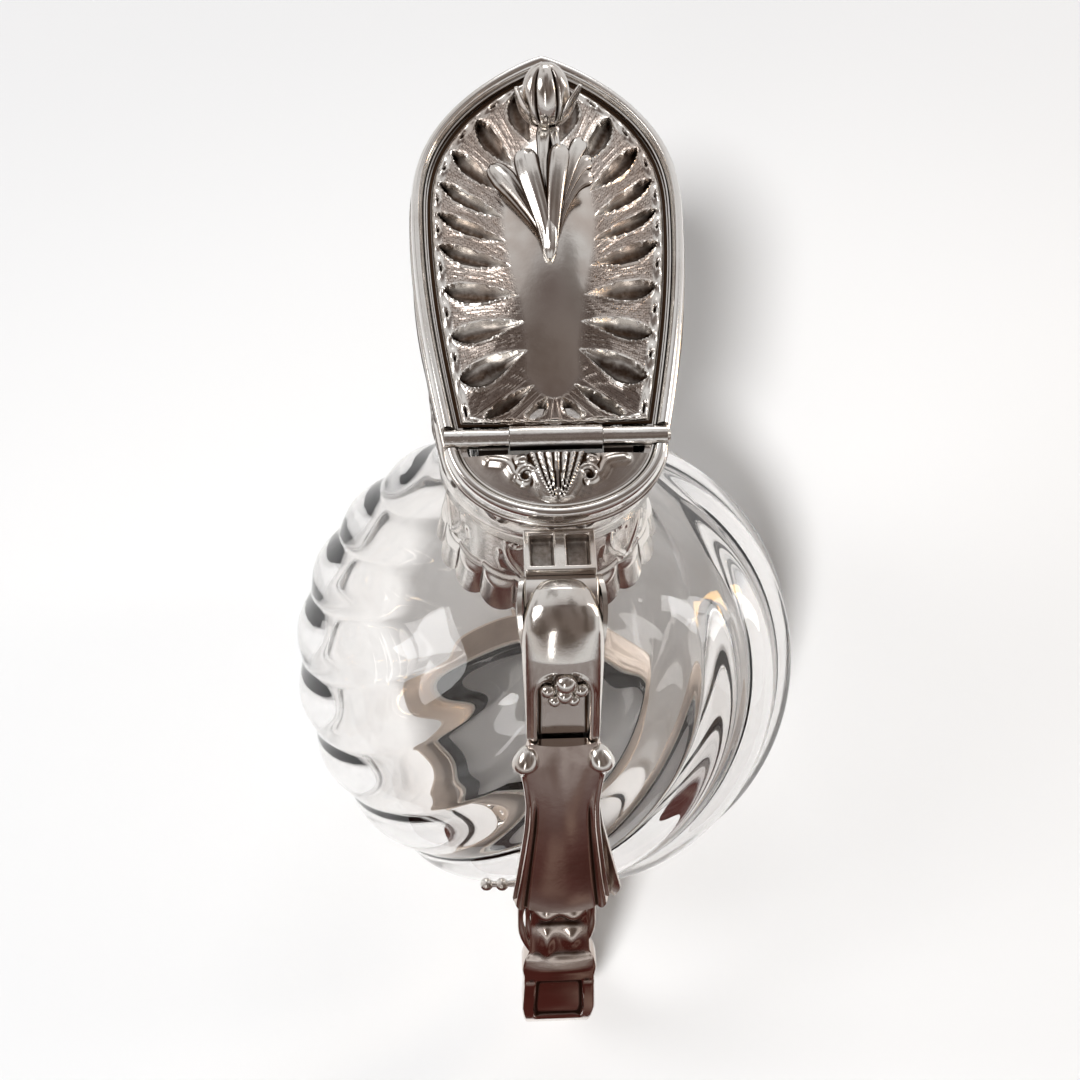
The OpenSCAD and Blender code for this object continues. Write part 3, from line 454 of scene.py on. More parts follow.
mouth = mouth_line(0.5)
top = on_slope(np.stack([mouth[:, 0], mouth[:, 1], np.full(len(mouth), -3.08)], -1))
reach = np.hypot(top[:, 0], top[:, 1])
way = top[:, :2] / reach[:, None]
spread = np.concatenate([[0], np.cumsum(np.hypot(*np.diff(top[:, :2], axis=0).T))])
rows = []
for t in np.concatenate([[-0.08], np.linspace(0, 1, 70)]):
    u = max(t, 0)
    r = BOWL_FOOT_R + (reach - BOWL_FOOT_R) * u**1.7
    z = BOWL_FOOT_Z + 0 * top[:, 2] if t < 0 else BOWL_FLARE_Z + (top[:, 2] - BOWL_FLARE_Z) * u
    across = (spread % 24.0) - 12.0
    work = 0.5 * leaf_work(across * 0.6, (z - BOWL_FLARE_Z - 3) * 0.5) * ease((u - 0.1) / 0.06) * ease(
        (0.92 - u) / 0.05
    )
    drops = 0.5 * ridge(np.abs(across), z - BOWL_FLARE_Z, [(11.6, 10), (11.8, 16), (10.8, 22)], 1.2)
    roll = 0.5 * np.exp(-(((z - top[:, 2] + 2.6) / 0.6) ** 2)) + 0.4 * np.exp(-(((z - top[:, 2] + 4.4) / 0.4) ** 2))
    r = r - 0.2 + work + drops + roll * ease((u - 0.5) / 0.2)
    rows.append(np.stack([r * way[:, 0], r * way[:, 1], z], -1))
bowl = skin("spout_bowl", rows)
hollows(bowl, 0.30, 10)
thicken(bowl, BOWL_WALL)
bowl.data.materials.append(chased)
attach(bowl, "jug")
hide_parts("spout_bowl")

# ---- Mouth rim and rear rim -----------------------------------------------
# A flat wire is soldered round the mouth for the lid to lie on. Behind the hinge a half-round wire lies on it,
# with a fine raised line along its inner edge.
RIM_W = 4.6
WIRE_W = 3.4
WIRE_H = 2.5


def wire_loop(line, section):
    """Rings of a wire along an edge, for each place of its section (inwards, up)."""
    tracks = [on_slope(np.column_stack([line(inset), np.full(len(line(inset)), up)])) for inset, up in section]
    return np.stack(tracks, 1)


rim_section = [
    (0.5, -3.0), (0.1, -2.6), (0, -2.1), (0.15, -1.4), (0.1, -1.0), (0.35, -0.8), (2.5, -0.8), (RIM_W, -0.8),
    (RIM_W, -3.0),
]
rings = wire_loop(mouth_line, rim_section)
rim = skin("mouth_rim", np.concatenate([rings, rings[:1]]), weld=True, angle=35)
rim.data.materials.append(polished)
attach(rim, "jug")
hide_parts("mouth_rim")


def half_round(base, width, height):
    tube = width - 0.75
    a = np.linspace(0, math.pi, 13)
    arc = [(tube / 2 - tube / 2 * math.cos(k), base + 0.35 + (height - 0.35) * math.sin(k) ** 0.9) for k in a]
    fillet = [(tube + 0.1, base + 0.75), (tube + 0.3, base + 1.15), (width - 0.15, base + 1.1), (width, base + 0.7)]
    return [(0, base)] + arc + fillet + [(width, base)]


rear_end = math.degrees(math.acos(2.18 / (REAR_DEEP - WIRE_W)))
rings = wire_loop(lambda inset: rear_line(inset, -rear_end, rear_end, 140), half_round(-0.72, WIRE_W, WIRE_H))
rear = skin("rear_rim", rings, caps=True, angle=50)
hollows(rear, 0.12, 2)
rear.data.materials.append(polished)
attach(rear, "jug")
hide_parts("rear_rim")

# ---- Rear cover -----------------------------------------------------------
# A fixed half-round plate behind the hinge, chased with a ribbed fan that narrows to a point at the rear rim,
# and a volute at either side of it. The outer fields are smooth.
COVER_INSET = 3.48
COVER_X = MOUTH_HALF - COVER_INSET
COVER_V = REAR_DEEP - COVER_INSET
COVER_WALL = 0.8
COVER_FRONT = -4.0
corner = COVER_X * math.sqrt(1 - (COVER_FRONT / COVER_V) ** 2)
a = np.sin(np.radians(np.linspace(-90, 90, 200)))
b = np.linspace(0, 1, 84)
x = np.repeat((a * corner)[None, :], len(b), 0)
deep = -COVER_V * np.sqrt(np.clip(1 - (x / COVER_X) ** 2, 0, 1))
v = COVER_FRONT + b[:, None] * (np.minimum(deep, COVER_FRONT) - COVER_FRONT)
out = np.clip(np.hypot(x / COVER_X, v / COVER_V), 0, 1)
fan_half = 0.5 + 5.6 * np.clip((v + 14.8) / 10.6, 0, 1.2) ** 0.75
across = x / fan_half
fan = ease((1.0 - np.abs(across)) / 0.1)
ribs = 0.5 + 0.5 * np.cos(2 * math.pi * 3.5 * across)
lift = 0.9 * (1 - out**3)
work = fan * (0.7 + 0.6 * ribs**0.7)
dark = 0.85 * fan * (1 - ribs) ** 2
dark = np.maximum(
    dark, 0.45 * ease((9.5 - np.abs(x)) / 3.0) * (0.5 + 0.5 * np.sin(x * 3.1 + v * 1.7) * np.sin(v * 2.6 - x * 0.8)),
)
for side, hole in ((-1, 0.9), (1, 1.0)):
    eye = (side * 6.7, -9.0)
    scroll = mirrored(side, curl(6.7, -8.9, 2.5, 200, -430))
    arm = mirrored(side, bezier([(4.6, -8.4), (3.9, -10.6), (2.2, -12.8), (0.9, -14.4)], np.linspace(0, 1, 14)))
    tail = mirrored(side, bezier([(9.0, -8.6), (10.6, -6.4), (9.4, -5.6), (14.2, -5.2)], np.linspace(0, 1, 14)))
    frill = mirrored(side, bezier([(7.0, -5.0), (9.0, -5.2), (8.0, -6.6), (7.0, -6.2)], np.linspace(0, 1, 10)))
    for path, height, width in ((scroll, 1.0, 0.9), (arm, 1.1, 1.3), (tail, 0.9, 1.1), (frill, 0.8, 0.9)):
        work = np.maximum(work, height * ridge(x, v, path, width))
    eye_hole = np.exp(-((x - eye[0]) ** 2 + (v - eye[1]) ** 2) / (0.85 * hole) ** 2)
    work = work - 1.3 * eye_hole
    # The eye hole is painted dark as painted shade.
    dark = np.maximum(dark, eye_hole)
edge = ease((1 - out) / 0.09)
w = 0.05 + lift * edge + work * edge
cover = skin("rear_cover", on_slope(np.stack([x, v, w], -1)), wrap=False, fields={"patina_and_shade": dark * edge}, weld=True)
hollows(cover, 0.22, 10)
thicken(cover, COVER_WALL)
cover.data.materials.append(chased)
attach(cover, "jug")
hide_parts("rear_cover")

# ---- Hinge ----------------------------------------------------------------
# Three drawn tubes on one pin: the outer two are soldered to the mouth, and the middle one to the lid.
# The leaves behind the tubes are painted near black, a painted shadow in the gap behind them.
hinge_silver, surface, wire = new_look("hinge silver")
place = wire.node("TexCoord", out=3)
behind = wire.node(
    "VectorMath", {"operation": "DOT_PRODUCT"}, 1,
    i0=wire.node("VectorMath", {"operation": "SUBTRACT"}, i0=place, i1=(0, HINGE_Y * MM, HINGE_Z * MM)),
    i1=(0, -math.cos(SLOPE), -math.sin(SLOPE)),
)
# Painted shadow: points more than about 2 mm behind the hinge axis turn near black.
painted_gap_shade = behind.ramp(0.0019, 0.0024)
cloud = wire.node("TexNoise", Vector=place, Scale=140.0, Detail=3.0)
fine = wire.node("TexNoise", Vector=place, Scale=900.0, Detail=3.0)
tint = (cloud.ramp(0.45, 0.75) * 0.4).mix(BRIGHT, (0.55, 0.46, 0.40, 1))
wire.put(surface.inputs["Base Color"], painted_gap_shade.mix(tint, (0.03, 0.022, 0.018, 1)))
wire.put(surface.inputs["Roughness"], cloud * 0.12 + painted_gap_shade * 0.4 + 0.1)
surface.inputs["Metallic"].default_value = 1.0
wire.put(surface.inputs["Normal"], wire.node("Bump", Strength=0.2, Distance=0.0003, Height=fine))
dress(hinge_silver, "hinge_knuckle_left", "hinge_knuckle_right", "hinge_knuckle_lid")
dress(polished, "lid_bezel")
fittings = silver("worn fittings", (0.62, 0.58, 0.53, 1), 0.6, 0.28)
dress(fittings, "hinge_pin", "finial_nut", "handle_screw", "handle_washer")

# ---- Lid ------------------------------------------------------------------
# Raised and chased sheet. Deep boat-shaped gadroons radiate from the smooth crown to the border, and between them
# lie flat bands with chased lines and punched work, each ending at the border in a small scroll with a drilled eye.
SHELL_INSET = 3.65
SHELL_FRONT = 3.1
SHELL_WALL = 0.9
DIP = 1.9
CROWN_LOOP = 9.0
CROWN_V = 45.0
CROWN_H = 8.5
OVAL = (25.5, 45.0)
LID_UNDER = -0.7
edge_right = side_line(SHELL_INSET, SHELL_FRONT, 400, 300)
step = np.concatenate([[0], np.cumsum(np.hypot(*np.diff(edge_right, axis=0).T))])
edge_len = step[-1]
u = np.linspace(0, 1, 200)
outer_x = np.interp(u * edge_len, step, edge_right[:, 0])
outer_v = np.interp(u * edge_len, step, edge_right[:, 1])
# Each gadroon's place along the slope at the border, and the place on the crown that it starts from
BORDER_AT = [SHELL_FRONT, 13.0, 23.6, 36.0, 47.5, 56.0, 64.0, 72.5, 81.0, 88.5, 91.8]
CROWN_X = [5.0, 4.8, 5.4, 6.4, 7.8, 8.8, 9.4, 8.8, 7.2, 3.6, 0.0]
CROWN_AT = [14.0, 19.0, 24.5, 30.0, 36.5, 42.5, 48.5, 55.0, 62.0, 69.0, 71.0]
COUNT = [0.40, 1, 2, 3, 4, 5, 6, 7, 8, 9, 9.5]


def smoothed(values, width=13):
    padded = np.concatenate(
        [2 * values[0] - values[width:0:-1], values, 2 * values[-1] - values[-2 : -width - 2 : -1]]
    )
    return np.convolve(padded, np.ones(width) / width, "same")[width:-width]


inner_x = smoothed(np.interp(outer_v, BORDER_AT, CROWN_X))
inner_v = smoothed(np.interp(outer_v, BORDER_AT, CROWN_AT))
inner_x[-1] = 0.0
side_at = smoothed(np.interp(outer_v, BORDER_AT, COUNT), 9)
hinge_part = np.linspace(-1, 1, 90)[1:-1]
hinge_x = hinge_part * outer_x[0]
outer = np.concatenate(
    [
        np.stack([outer_x, outer_v], -1), np.stack([-outer_x, outer_v], -1)[::-1][1:],
        np.stack([hinge_x, np.full(len(hinge_x), SHELL_FRONT)], -1),
    ]
)
inner = np.concatenate(
    [
        np.stack([inner_x, inner_v], -1), np.stack([-inner_x, inner_v], -1)[::-1][1:],
        np.stack([inner_x[0] * hinge_part, CROWN_LOOP + (inner_v[0] - CROWN_LOOP) * hinge_part**2], -1),
    ]
)
spine = np.stack([np.zeros(len(inner)), np.clip(inner[:, 1], inner_v[0], 69)], -1)
# Which gadroon a place belongs to, and how far along the border it lies
repeat = np.concatenate([side_at, side_at[::-1][1:], (np.abs(hinge_x) - 15.6) / 10.4 + (side_at[0] - 0.40)])
arc = np.concatenate([u * edge_len, (u * edge_len)[::-1][1:] + 7.3, np.abs(hinge_x)])

around = np.concatenate(
    [edge_right[::-1] * [-1, 1], np.stack([hinge_x, np.full(len(hinge_x), SHELL_FRONT)], -1), edge_right]
)
angle = np.arctan2(around[:, 0], -(around[:, 1] - CROWN_V))
order = np.argsort(angle)
edge_angle = angle[order]
edge_reach = np.hypot(around[:, 0], around[:, 1] - CROWN_V)[order]


def crown(points):
    """Height of the lid's plain surface over the sloping plane."""
    x, v = points[..., 0], points[..., 1] - CROWN_V
    share = np.hypot(x, v) / np.interp(np.arctan2(x, -v), edge_angle, edge_reach, period=2 * math.pi)
    # An oval's own share near the middle, so that no crease runs out to the corners
    oval = np.hypot(x / OVAL[0], v / OVAL[1])
    share = oval + (share - oval) * ease(share / 0.95)
    return LID_UNDER + 1.0 + CROWN_H * (1 - ease(np.clip(share, 0, 1) ** 1.25))


PITCH = 10.0
bow = np.concatenate([np.full(len(side_at), 1.0), np.full(len(side_at) - 1, 1.0), np.zeros(len(hinge_x))])
rows, marks = [], {"patina_and_shade": [], "band": [], "along": [], "across": []}
for t in np.concatenate([np.linspace(-1, 0, 16, endpoint=False), np.linspace(0, 1, 84)]):
    if t < 0:
        place = spine + (inner - spine) * (1 + t)
        work = np.zeros(len(place))
        dark = np.zeros(len(place))
        band = np.zeros(len(place))
    else:
        place = inner + (outer - inner) * t
        bowed = repeat + 0.10 * bow * math.sin(math.pi * t) - 0.04
        slot_off = np.abs((bowed + 0.5) % 1.0 - 0.5)
        # Half width of a gadroon: pointed at the crown, fullest near the border, round at its end
        along_it = min(1.0, max(0.0, (t - 0.02) / 0.84))
        half = max(0.25 * math.sin(math.pi * along_it**1.45) ** 0.6 if 0 < along_it < 1 else 0.0, 1e-3)
        inside = np.clip(1 - (slot_off / half) ** 2, 0, 1)
        dip = inside**0.8 if half > 2e-3 else np.zeros(len(place))
        full = min(1.0, max(0.0, t - 0.02) / 0.30)
        lip = np.exp(-(((slot_off - half * 1.08) / 0.04) ** 2)) * (0.02 < t < 0.88) * full
        on_band = ease((slot_off - half * 1.15) / 0.05) * float(ease(t / 0.12) * ease((0.84 - t) / 0.03))
        lines = 0
        for at in (0.36, 0.43, 0.50):
            lines = lines + np.exp(-(((slot_off - at) / 0.011) ** 2))
        scroll = np.exp(-((slot_off - 0.40) ** 2 * (PITCH / 1.5) ** 2) - ((t - 0.89) / 0.040) ** 2)
        curl_in = np.exp(-((slot_off - 0.5) ** 2 * (PITCH / 0.9) ** 2) - ((t - 0.845) / 0.02) ** 2)
        eye = np.exp(-((slot_off - 0.47) ** 2 * (PITCH / 0.55) ** 2) - ((t - 0.872) / 0.014) ** 2)
        bud_end = np.exp(-((slot_off) ** 2 * (PITCH / 1.4) ** 2) - ((t - 0.905) / 0.022) ** 2)
        recess = float(ease((t - 0.935) / 0.02))
        work = -DIP * dip * full + 0.55 * lip + on_band * 0.15 - 0.16 * lines * on_band
        work = work + 0.7 * scroll + 0.4 * curl_in - 1.1 * eye + 0.45 * bud_end - 0.7 * recess
        # Painted shade: the insides of the gadroons and the drilled eyes are darkened; the chased lines and the
        # recess along the border are darkened too.
        dark = np.maximum(0.66 * inside**0.8 * full, 0.9 * eye)
        dark = np.maximum(dark, 0.5 * lines * on_band)
        dark = np.maximum(dark, 0.85 * float(ease((t - 0.945) / 0.015)))
        band = on_band
    rows.append(on_slope(np.stack([place[:, 0], place[:, 1], crown(place) + work], -1)))
    marks["patina_and_shade"].append(dark)
    marks["band"].append(band)
    marks["along"].append(np.full(len(place), t * 20.0))
    marks["across"].append(arc)
lid = skin("lid", rows, fields=marks, weld=True)
hollows(lid, 0.85, 6)
thicken(lid, SHELL_WALL)
lid_silver = silver("chased lid silver", (0.82, 0.79, 0.75, 1), 0.75, 0.19, patina_and_shade=1.15, stipple=0.8)
lid.data.materials.append(lid_silver)
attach(lid, "lid")
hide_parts("lid_shell")

# ---- Lid rim --------------------------------------------------------------
# A half-round wire round the lid, like the one behind the hinge, soldered to its edge.


def lid_line(inset):
    right = side_line(inset, 2.4, 120, 110)
    return np.concatenate([right, right[:-1][::-1] * [-1, 1]])


rings = wire_loop(lid_line, half_round(LID_UNDER, WIRE_W, WIRE_H))
lid_rim = skin("lid_rim", rings, caps=True, angle=50)
hollows(lid_rim, 0.12, 2)
lid_rim.data.materials.append(polished)
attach(lid_rim, "lid")
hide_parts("lid_rim")

# ---- Finial ---------------------------------------------------------------
# Cast: a stem that rises from the crown, long leaves on either side of it, and a bud of six lobes in three sepals.
# A stud under it goes through the lid to a nut.
STUD_V = 58.0
BUD_V = 69.0
BUD_W = 10.5
BUD_LEN = 13.5
BUD_R = 5.4


def circle(count):
    return np.linspace(0, 2 * math.pi, count, endpoint=False)


def sweep(points, widths, heights, around=20, grooves=0, groove_depth=0.0, twist=0.0):
    """Rings of a leaf or stem along a curve in the sloping plane's axes."""
    t = np.linspace(0, 1, len(widths))
    c = bezier(points, t)
    d = np.gradient(c, axis=0)
    d /= np.linalg.norm(d, axis=1)[:, None]
    up = np.array([0.0, 0.0, 1.0])
    side = np.cross(d, up)
    side /= np.linalg.norm(side, axis=1)[:, None]
    up = np.cross(side, d)
    lean = np.radians(twist)
    side, up = side * math.cos(lean) + up * math.sin(lean), up * math.cos(lean) - side * math.sin(lean)
    a = circle(around)
    rings = []
    for i in range(len(t)):
        x = np.cos(a)
        y = np.sin(a)
        lift = y * heights[i] / 2
        top = np.clip(y, 0, 1)
        if grooves:
            lift = lift - groove_depth * top * (0.5 - 0.5 * np.cos(2 * math.pi * grooves * (x * 0.5 + 0.5)))
        rings.append(c[i] + side[i] * (x * widths[i] / 2)[:, None] + up[i] * lift[:, None])
    return np.array(rings)


def join(parts):
    """Joins the parts into the first of them."""
    bpy.ops.object.select_all(action="DESELECT")
    for part in parts:
        part.select_set(True)
    bpy.context.view_layer.objects.active = parts[0]
    bpy.ops.object.join()
    parts[0].select_set(False)
    return parts[0]


t = np.linspace(0, 1, 40)
stem_width = np.interp(t, [0, 0.06, 0.2, 0.45, 1.0], [1.4, 2.9, 3.6, 2.6, 2.6])
stem_rings = sweep(
    [(-0.2, 37.4, 9.7), (0, 46.5, 13.4), (0, 58, 11.6), (0, 69.5, 10.9)], stem_width, stem_width * 0.9, 28, grooves=2,
    groove_depth=0.25,
)
stem = skin("finial_stem", on_slope(stem_rings), caps=True)
hollows(stem, 0.12, 4)
a = circle(40)
flange_rings = []
for r, h in ((0, -2.9), (1.5, -2.9), (1.5, 7.1), (3.1, 7.1), (3.2, 7.5), (2.8, 8.3), (0, 8.5)):
    flange_rings.append(ring(r, a, h) + [0, STUD_V, 0])
flange = skin("finial_flange", on_slope(flange_rings), weld=True)
join([stem, flange])
cast = silver("cast silver", (0.80, 0.77, 0.73, 1), 0.75, 0.17, patina_and_shade=1.2)
stem.data.materials.append(cast)
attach(stem, "lid")
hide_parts("finial_stem")

leaf_parts = []
round_end = np.sqrt(np.clip(1 - (np.clip(t - 0.86, 0, 1) / 0.1405) ** 2, 0.004, 1))
blade = np.interp(t, [0, 0.05, 0.35, 0.72, 1], [1.2, 2.4, 3.9, 5.4, 5.6]) * round_end
flat = np.interp(t, [0, 0.1, 0.4, 0.75, 1], [1.0, 1.8, 3.8, 5.6, 4.2]) * round_end
lobed = np.interp(t, [0, 0.1, 0.45, 0.8, 1], [0.9, 1.6, 3.0, 4.0, 3.8]) * round_end
for points, widths, thick, twist, lines in (
    ([(-0.4, 38.2, 10.2), (-0.9, 46.7, 12.8), (-4.6, 53.7, 14.6), (-5.0, 62.3, 13.4)], blade, 0.66, 12, 2),
    ([(0.5, 38.2, 10.2), (0.6, 46.6, 12.8), (1.6, 54.5, 14.8), (3.0, 63.2, 13.6)], blade * 0.85, 0.75, -12, 1),
    ([(-0.9, 41.2, 9.9), (-4.1, 48.9, 11.0), (-8.7, 55.8, 10.4), (-12.5, 62.0, 8.0)], flat, 0.30, 10, 2),
    ([(1.7, 43.3, 10.6), (3.2, 50.6, 12.0), (5.4, 56.0, 12.2), (10.0, 56.6, 10.8)], lobed, 0.45, -16, 1),
    ([(2.6, 48.0, 11.6), (4.4, 54.0, 12.8), (6.4, 59.4, 12.8), (9.8, 60.4, 11.2)], lobed * 0.9, 0.5, -20, 1),
    ([(2.9, 50.0, 12.4), (4.2, 56.0, 13.6), (5.4, 61.0, 13.8), (8.0, 65.4, 11.8)], lobed * 0.95, 0.5, -18, 1),
    ([(-0.8, 52.0, 12.6), (-1.2, 58.0, 13.2), (-1.0, 64.0, 12.8), (-0.4, 70.0, 11.6)], lobed * 0.8, 0.7, 0, 1),
    ([(1.6, 54.0, 12.2), (2.6, 60.0, 13.0), (2.2, 65.0, 12.6), (1.0, 69.0, 11.6)], lobed * 0.6, 0.7, 0, 0),
):
    rings = sweep(points, widths, widths * thick, 26, grooves=lines, groove_depth=0.36, twist=twist)
    a = circle(26)
    # The long edges of each leaf are painted dark, as painted shade where the leaves meet and overlap.
    edge = np.clip((np.abs(np.cos(a)) - 0.70) / 0.25, 0, 1) * 0.95
    leaf_parts.append(skin("finial_leaf", on_slope(rings), caps=True, fields={"patina_and_shade": np.tile(edge, (len(t), 1))}))
for part in leaf_parts:
    hollows(part, 0.10, 4, least=0.10)
leaves = join(leaf_parts)
leaves.name = "finial_leaves"
leaves.data.materials.append(cast)
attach(leaves, "lid")
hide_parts("finial_leaves")

BUD_LEAN = math.radians(45)
rows, dark = [], []
a = circle(132)
for s in np.linspace(0.0, 1.0, 70):
    r = BUD_R * (1 - abs(2 * s**0.9 - 1) ** 2.3) ** 0.5
    off = np.abs((np.degrees(a) + 10 * (s - 0.5)) % 60 - 30)
    # The gaps between the lobes are darkened, partly patina and partly painted shade.
    gap = np.exp(-((off / 4.4) ** 2)) * ease(s / 0.15) * ease((0.97 - s) / 0.12)
    petal = 1 - 0.22 * gap - 0.04 * np.cos(np.radians(off * 6))
    at = a + math.pi / 2
    rows.append(ring(r * petal, at, BUD_LEN * s))
    dark.append(gap)
bud_grid = np.array(rows)


def bud_place(points):
    """From the bud's own axes, with its length along the third, to the sloping plane's."""
    x, y, z = np.moveaxis(np.asarray(points, float), -1, 0)
    tilt = math.pi / 2 - BUD_LEAN
    v = BUD_V + y * math.cos(tilt) + (z + 0.9) * math.sin(tilt)
    w = BUD_W - y * math.sin(tilt) + (z + 0.9) * math.cos(tilt)
    return np.stack([x, v, w], -1)


bud_parts = [skin("finial_bud", on_slope(bud_place(bud_grid)), fields={"patina_and_shade": dark}, weld=True, angle=70)]
for turn_at, size in ((200, 1.0), (335, 1.05), (90, 0.8)):
    k = np.linspace(0, 1, 30)
    q = np.linspace(-1, 1, 21)
    spread = np.radians(turn_at + (26 * np.sin(math.pi * k**0.75) + 2)[:, None] * q[None, :])
    height = (k * 8.8 * size)[:, None] + 0 * q
    flare = (2.6 if turn_at == 335 else 1.2) * (k**2.5)[:, None]
    base_r = BUD_R * (1 - np.abs(2 * np.clip(height / BUD_LEN, 0, 1) ** 0.9 - 1) ** 2.3) ** 0.5 + 0.5 + flare
    sepal = skin("sepal", on_slope(bud_place(ring(base_r, spread, height))), wrap=False)
    thicken(sepal, 0.6, offset=0)
    bud_parts.append(sepal)
bud = join(bud_parts)
bud.data.materials.append(cast)
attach(bud, "lid")
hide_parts("finial_bud")

# ---- Handle: bracket ------------------------------------------------------
# A cast block soldered behind the bowl, with two square hollows in its top and a thin wall between them.
BRACKET_TOP = 176.25
BRACKET_LOW = 167.25
BRACKET_END = -55.58
bpy.ops.mesh.primitive_cube_add(size=1, location=(0, -50.2 * MM, (BRACKET_TOP + BRACKET_LOW) / 2 * MM))
bracket = bpy.context.object
bracket.name = "handle_bracket"
bracket.scale = (15 * MM, 10.7 * MM, (BRACKET_TOP - BRACKET_LOW) * MM)
bpy.ops.object.transform_apply(location=True, rotation=True, scale=True)
bpy.ops.object.mode_set(mode="EDIT")
bpy.ops.mesh.select_all(action="SELECT")
bpy.ops.mesh.bisect(plane_co=(0, 0, 0.17), plane_no=(1, 0, 0))
bpy.ops.mesh.select_all(action="DESELECT")
bpy.ops.object.mode_set(mode="OBJECT")
for face in bracket.data.polygons:
    face.select = face.normal.z > 0.9
bpy.ops.object.mode_set(mode="EDIT")
bpy.ops.mesh.select_mode(type="FACE")
bpy.ops.mesh.inset(thickness=1.3 * MM, depth=0, use_individual=True)
bpy.ops.mesh.inset(thickness=0.4 * MM, depth=-2.6 * MM, use_individual=True)
bpy.ops.object.mode_set(mode="OBJECT")
edge = bracket.modifiers.new("worn edges", "BEVEL")
edge.width = 0.35 * MM
edge.segments = 3
bpy.ops.object.modifier_apply(modifier="worn edges")
fine = bracket.modifiers.new("fine faces", "SUBSURF")
fine.subdivision_type = "SIMPLE"
fine.levels = fine.render_levels = 3
bpy.ops.object.modifier_apply(modifier="fine faces")
tidy(bracket, angle=50)
# The insides of the two square hollows are painted darker the deeper they go, as painted shade.
depth_of = np.array([p.co.z for p in bracket.data.vertices]) / MM
side_of = np.array([(abs(p.co.x) / MM < 6.0 and -54.4 < p.co.y / MM < -46.0) for p in bracket.data.vertices])
bracket.data.attributes.new("patina_and_shade", "FLOAT", "POINT").data.foreach_set(
    "value", (np.clip((BRACKET_TOP - 0.5 - depth_of) / 2.4, 0, 0.45) * side_of).astype(np.float32),
)
bracket.data.materials.append(cast)
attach(bracket, "jug")
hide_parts("handle_bracket")

# ---- Handle: upper scroll -------------------------------------------------
# The cast upper scroll of the handle. Under the hood its outer face is a channel between two thin walls.
UPPER = [(-55.657, 174.251), (-72.577, 175.251), (-87, 129), (-89.5, 92)]


def along(curve, t):
    """Points of a handle curve with their direction and outward side, as (y, z) pairs."""
    c = bezier(curve, t)
    p = [np.asarray(q, float) for q in curve]
    k = np.asarray(t, float)[..., None]
    d = (1 - k) ** 2 * (p[1] - p[0]) + 2 * k * (1 - k) * (p[2] - p[1]) + k * k * (p[3] - p[2])
    d = d / np.linalg.norm(d, axis=-1)[..., None]
    return c, d, np.stack([d[..., 1], -d[..., 0]], -1)


def handle_rings(curve, t, sections):
    """Rings along a handle curve from sections of (across, outward) points."""
    c, d, out = along(curve, t)
    return np.stack(
        [
            np.stack([s[:, 0], c[i, 0] + out[i, 0] * s[:, 1], c[i, 1] + out[i, 1] * s[:, 1]], -1)
            for i, s in enumerate(sections)
        ]
    )


def strap(width, thick, channel=0.0, wall=1.7, face=None, count=61):
    """Section of a strap: an outer face, which may be channelled or shaped, and a round inner side."""
    q = np.linspace(-1, 1, count)
    edge = width / 2 * (1 - np.abs(q))
    d = -channel * ease((edge - wall * 0.55) / (wall * 0.8)) - 0.5 * (1 - np.clip(edge / 0.6, 0, 1)) ** 2
    if face is not None:
        d = d + face(q, edge)
    outer = np.stack([q * width / 2, d], -1)
    a = np.radians(np.linspace(0, -180, 33))[1:-1]
    inner = np.stack(
        [
            width / 2 * np.sign(np.cos(a)) * np.abs(np.cos(a)) ** 0.5,
            -thick / 2 - thick / 2 * np.abs(np.sin(a)) ** 0.6,
        ],
        -1,
    )
    return np.concatenate([outer, inner])


t = np.linspace(0, 1, 110)
sections = []
for k in t:
    deep = 1.4 * float(ease((k - 0.24) / 0.10) * ease((0.60 - k) / 0.06))
    sections.append(strap(16 - 2 * k, 8 - k, deep, 2.2))
upper = skin("upper_scroll", handle_rings(UPPER, t, sections), caps=True)
hollows(upper, 0.25, 8)
CHEEK_END = 0.27
cheeks = []
cheek_t = np.linspace(0, CHEEK_END, 34)
for side in (-1, 1):
    sections = []
    for bulge in np.sin(math.pi * cheek_t / CHEEK_END):
        x = side * (7.9 + 0.9 * bulge)
        top = 0.4 + 1.6 * bulge
        low = -6.5 + 2.5 * (1 - bulge)
        outer_side = [(x + side * 0.5, top - 0.15), (x + side * 0.7, (top + low) / 2), (x + side * 0.5, low)]
        sections.append(np.array([(x - side * 0.5, top)] + outer_side + [(x - side * 0.5, low)]))
    cheeks.append(skin("cheek", handle_rings(UPPER, cheek_t, sections), caps=True, angle=50))
join([upper] + cheeks)
upper.data.materials.append(cast)
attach(upper, "jug")
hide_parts("handle_upper_scroll")

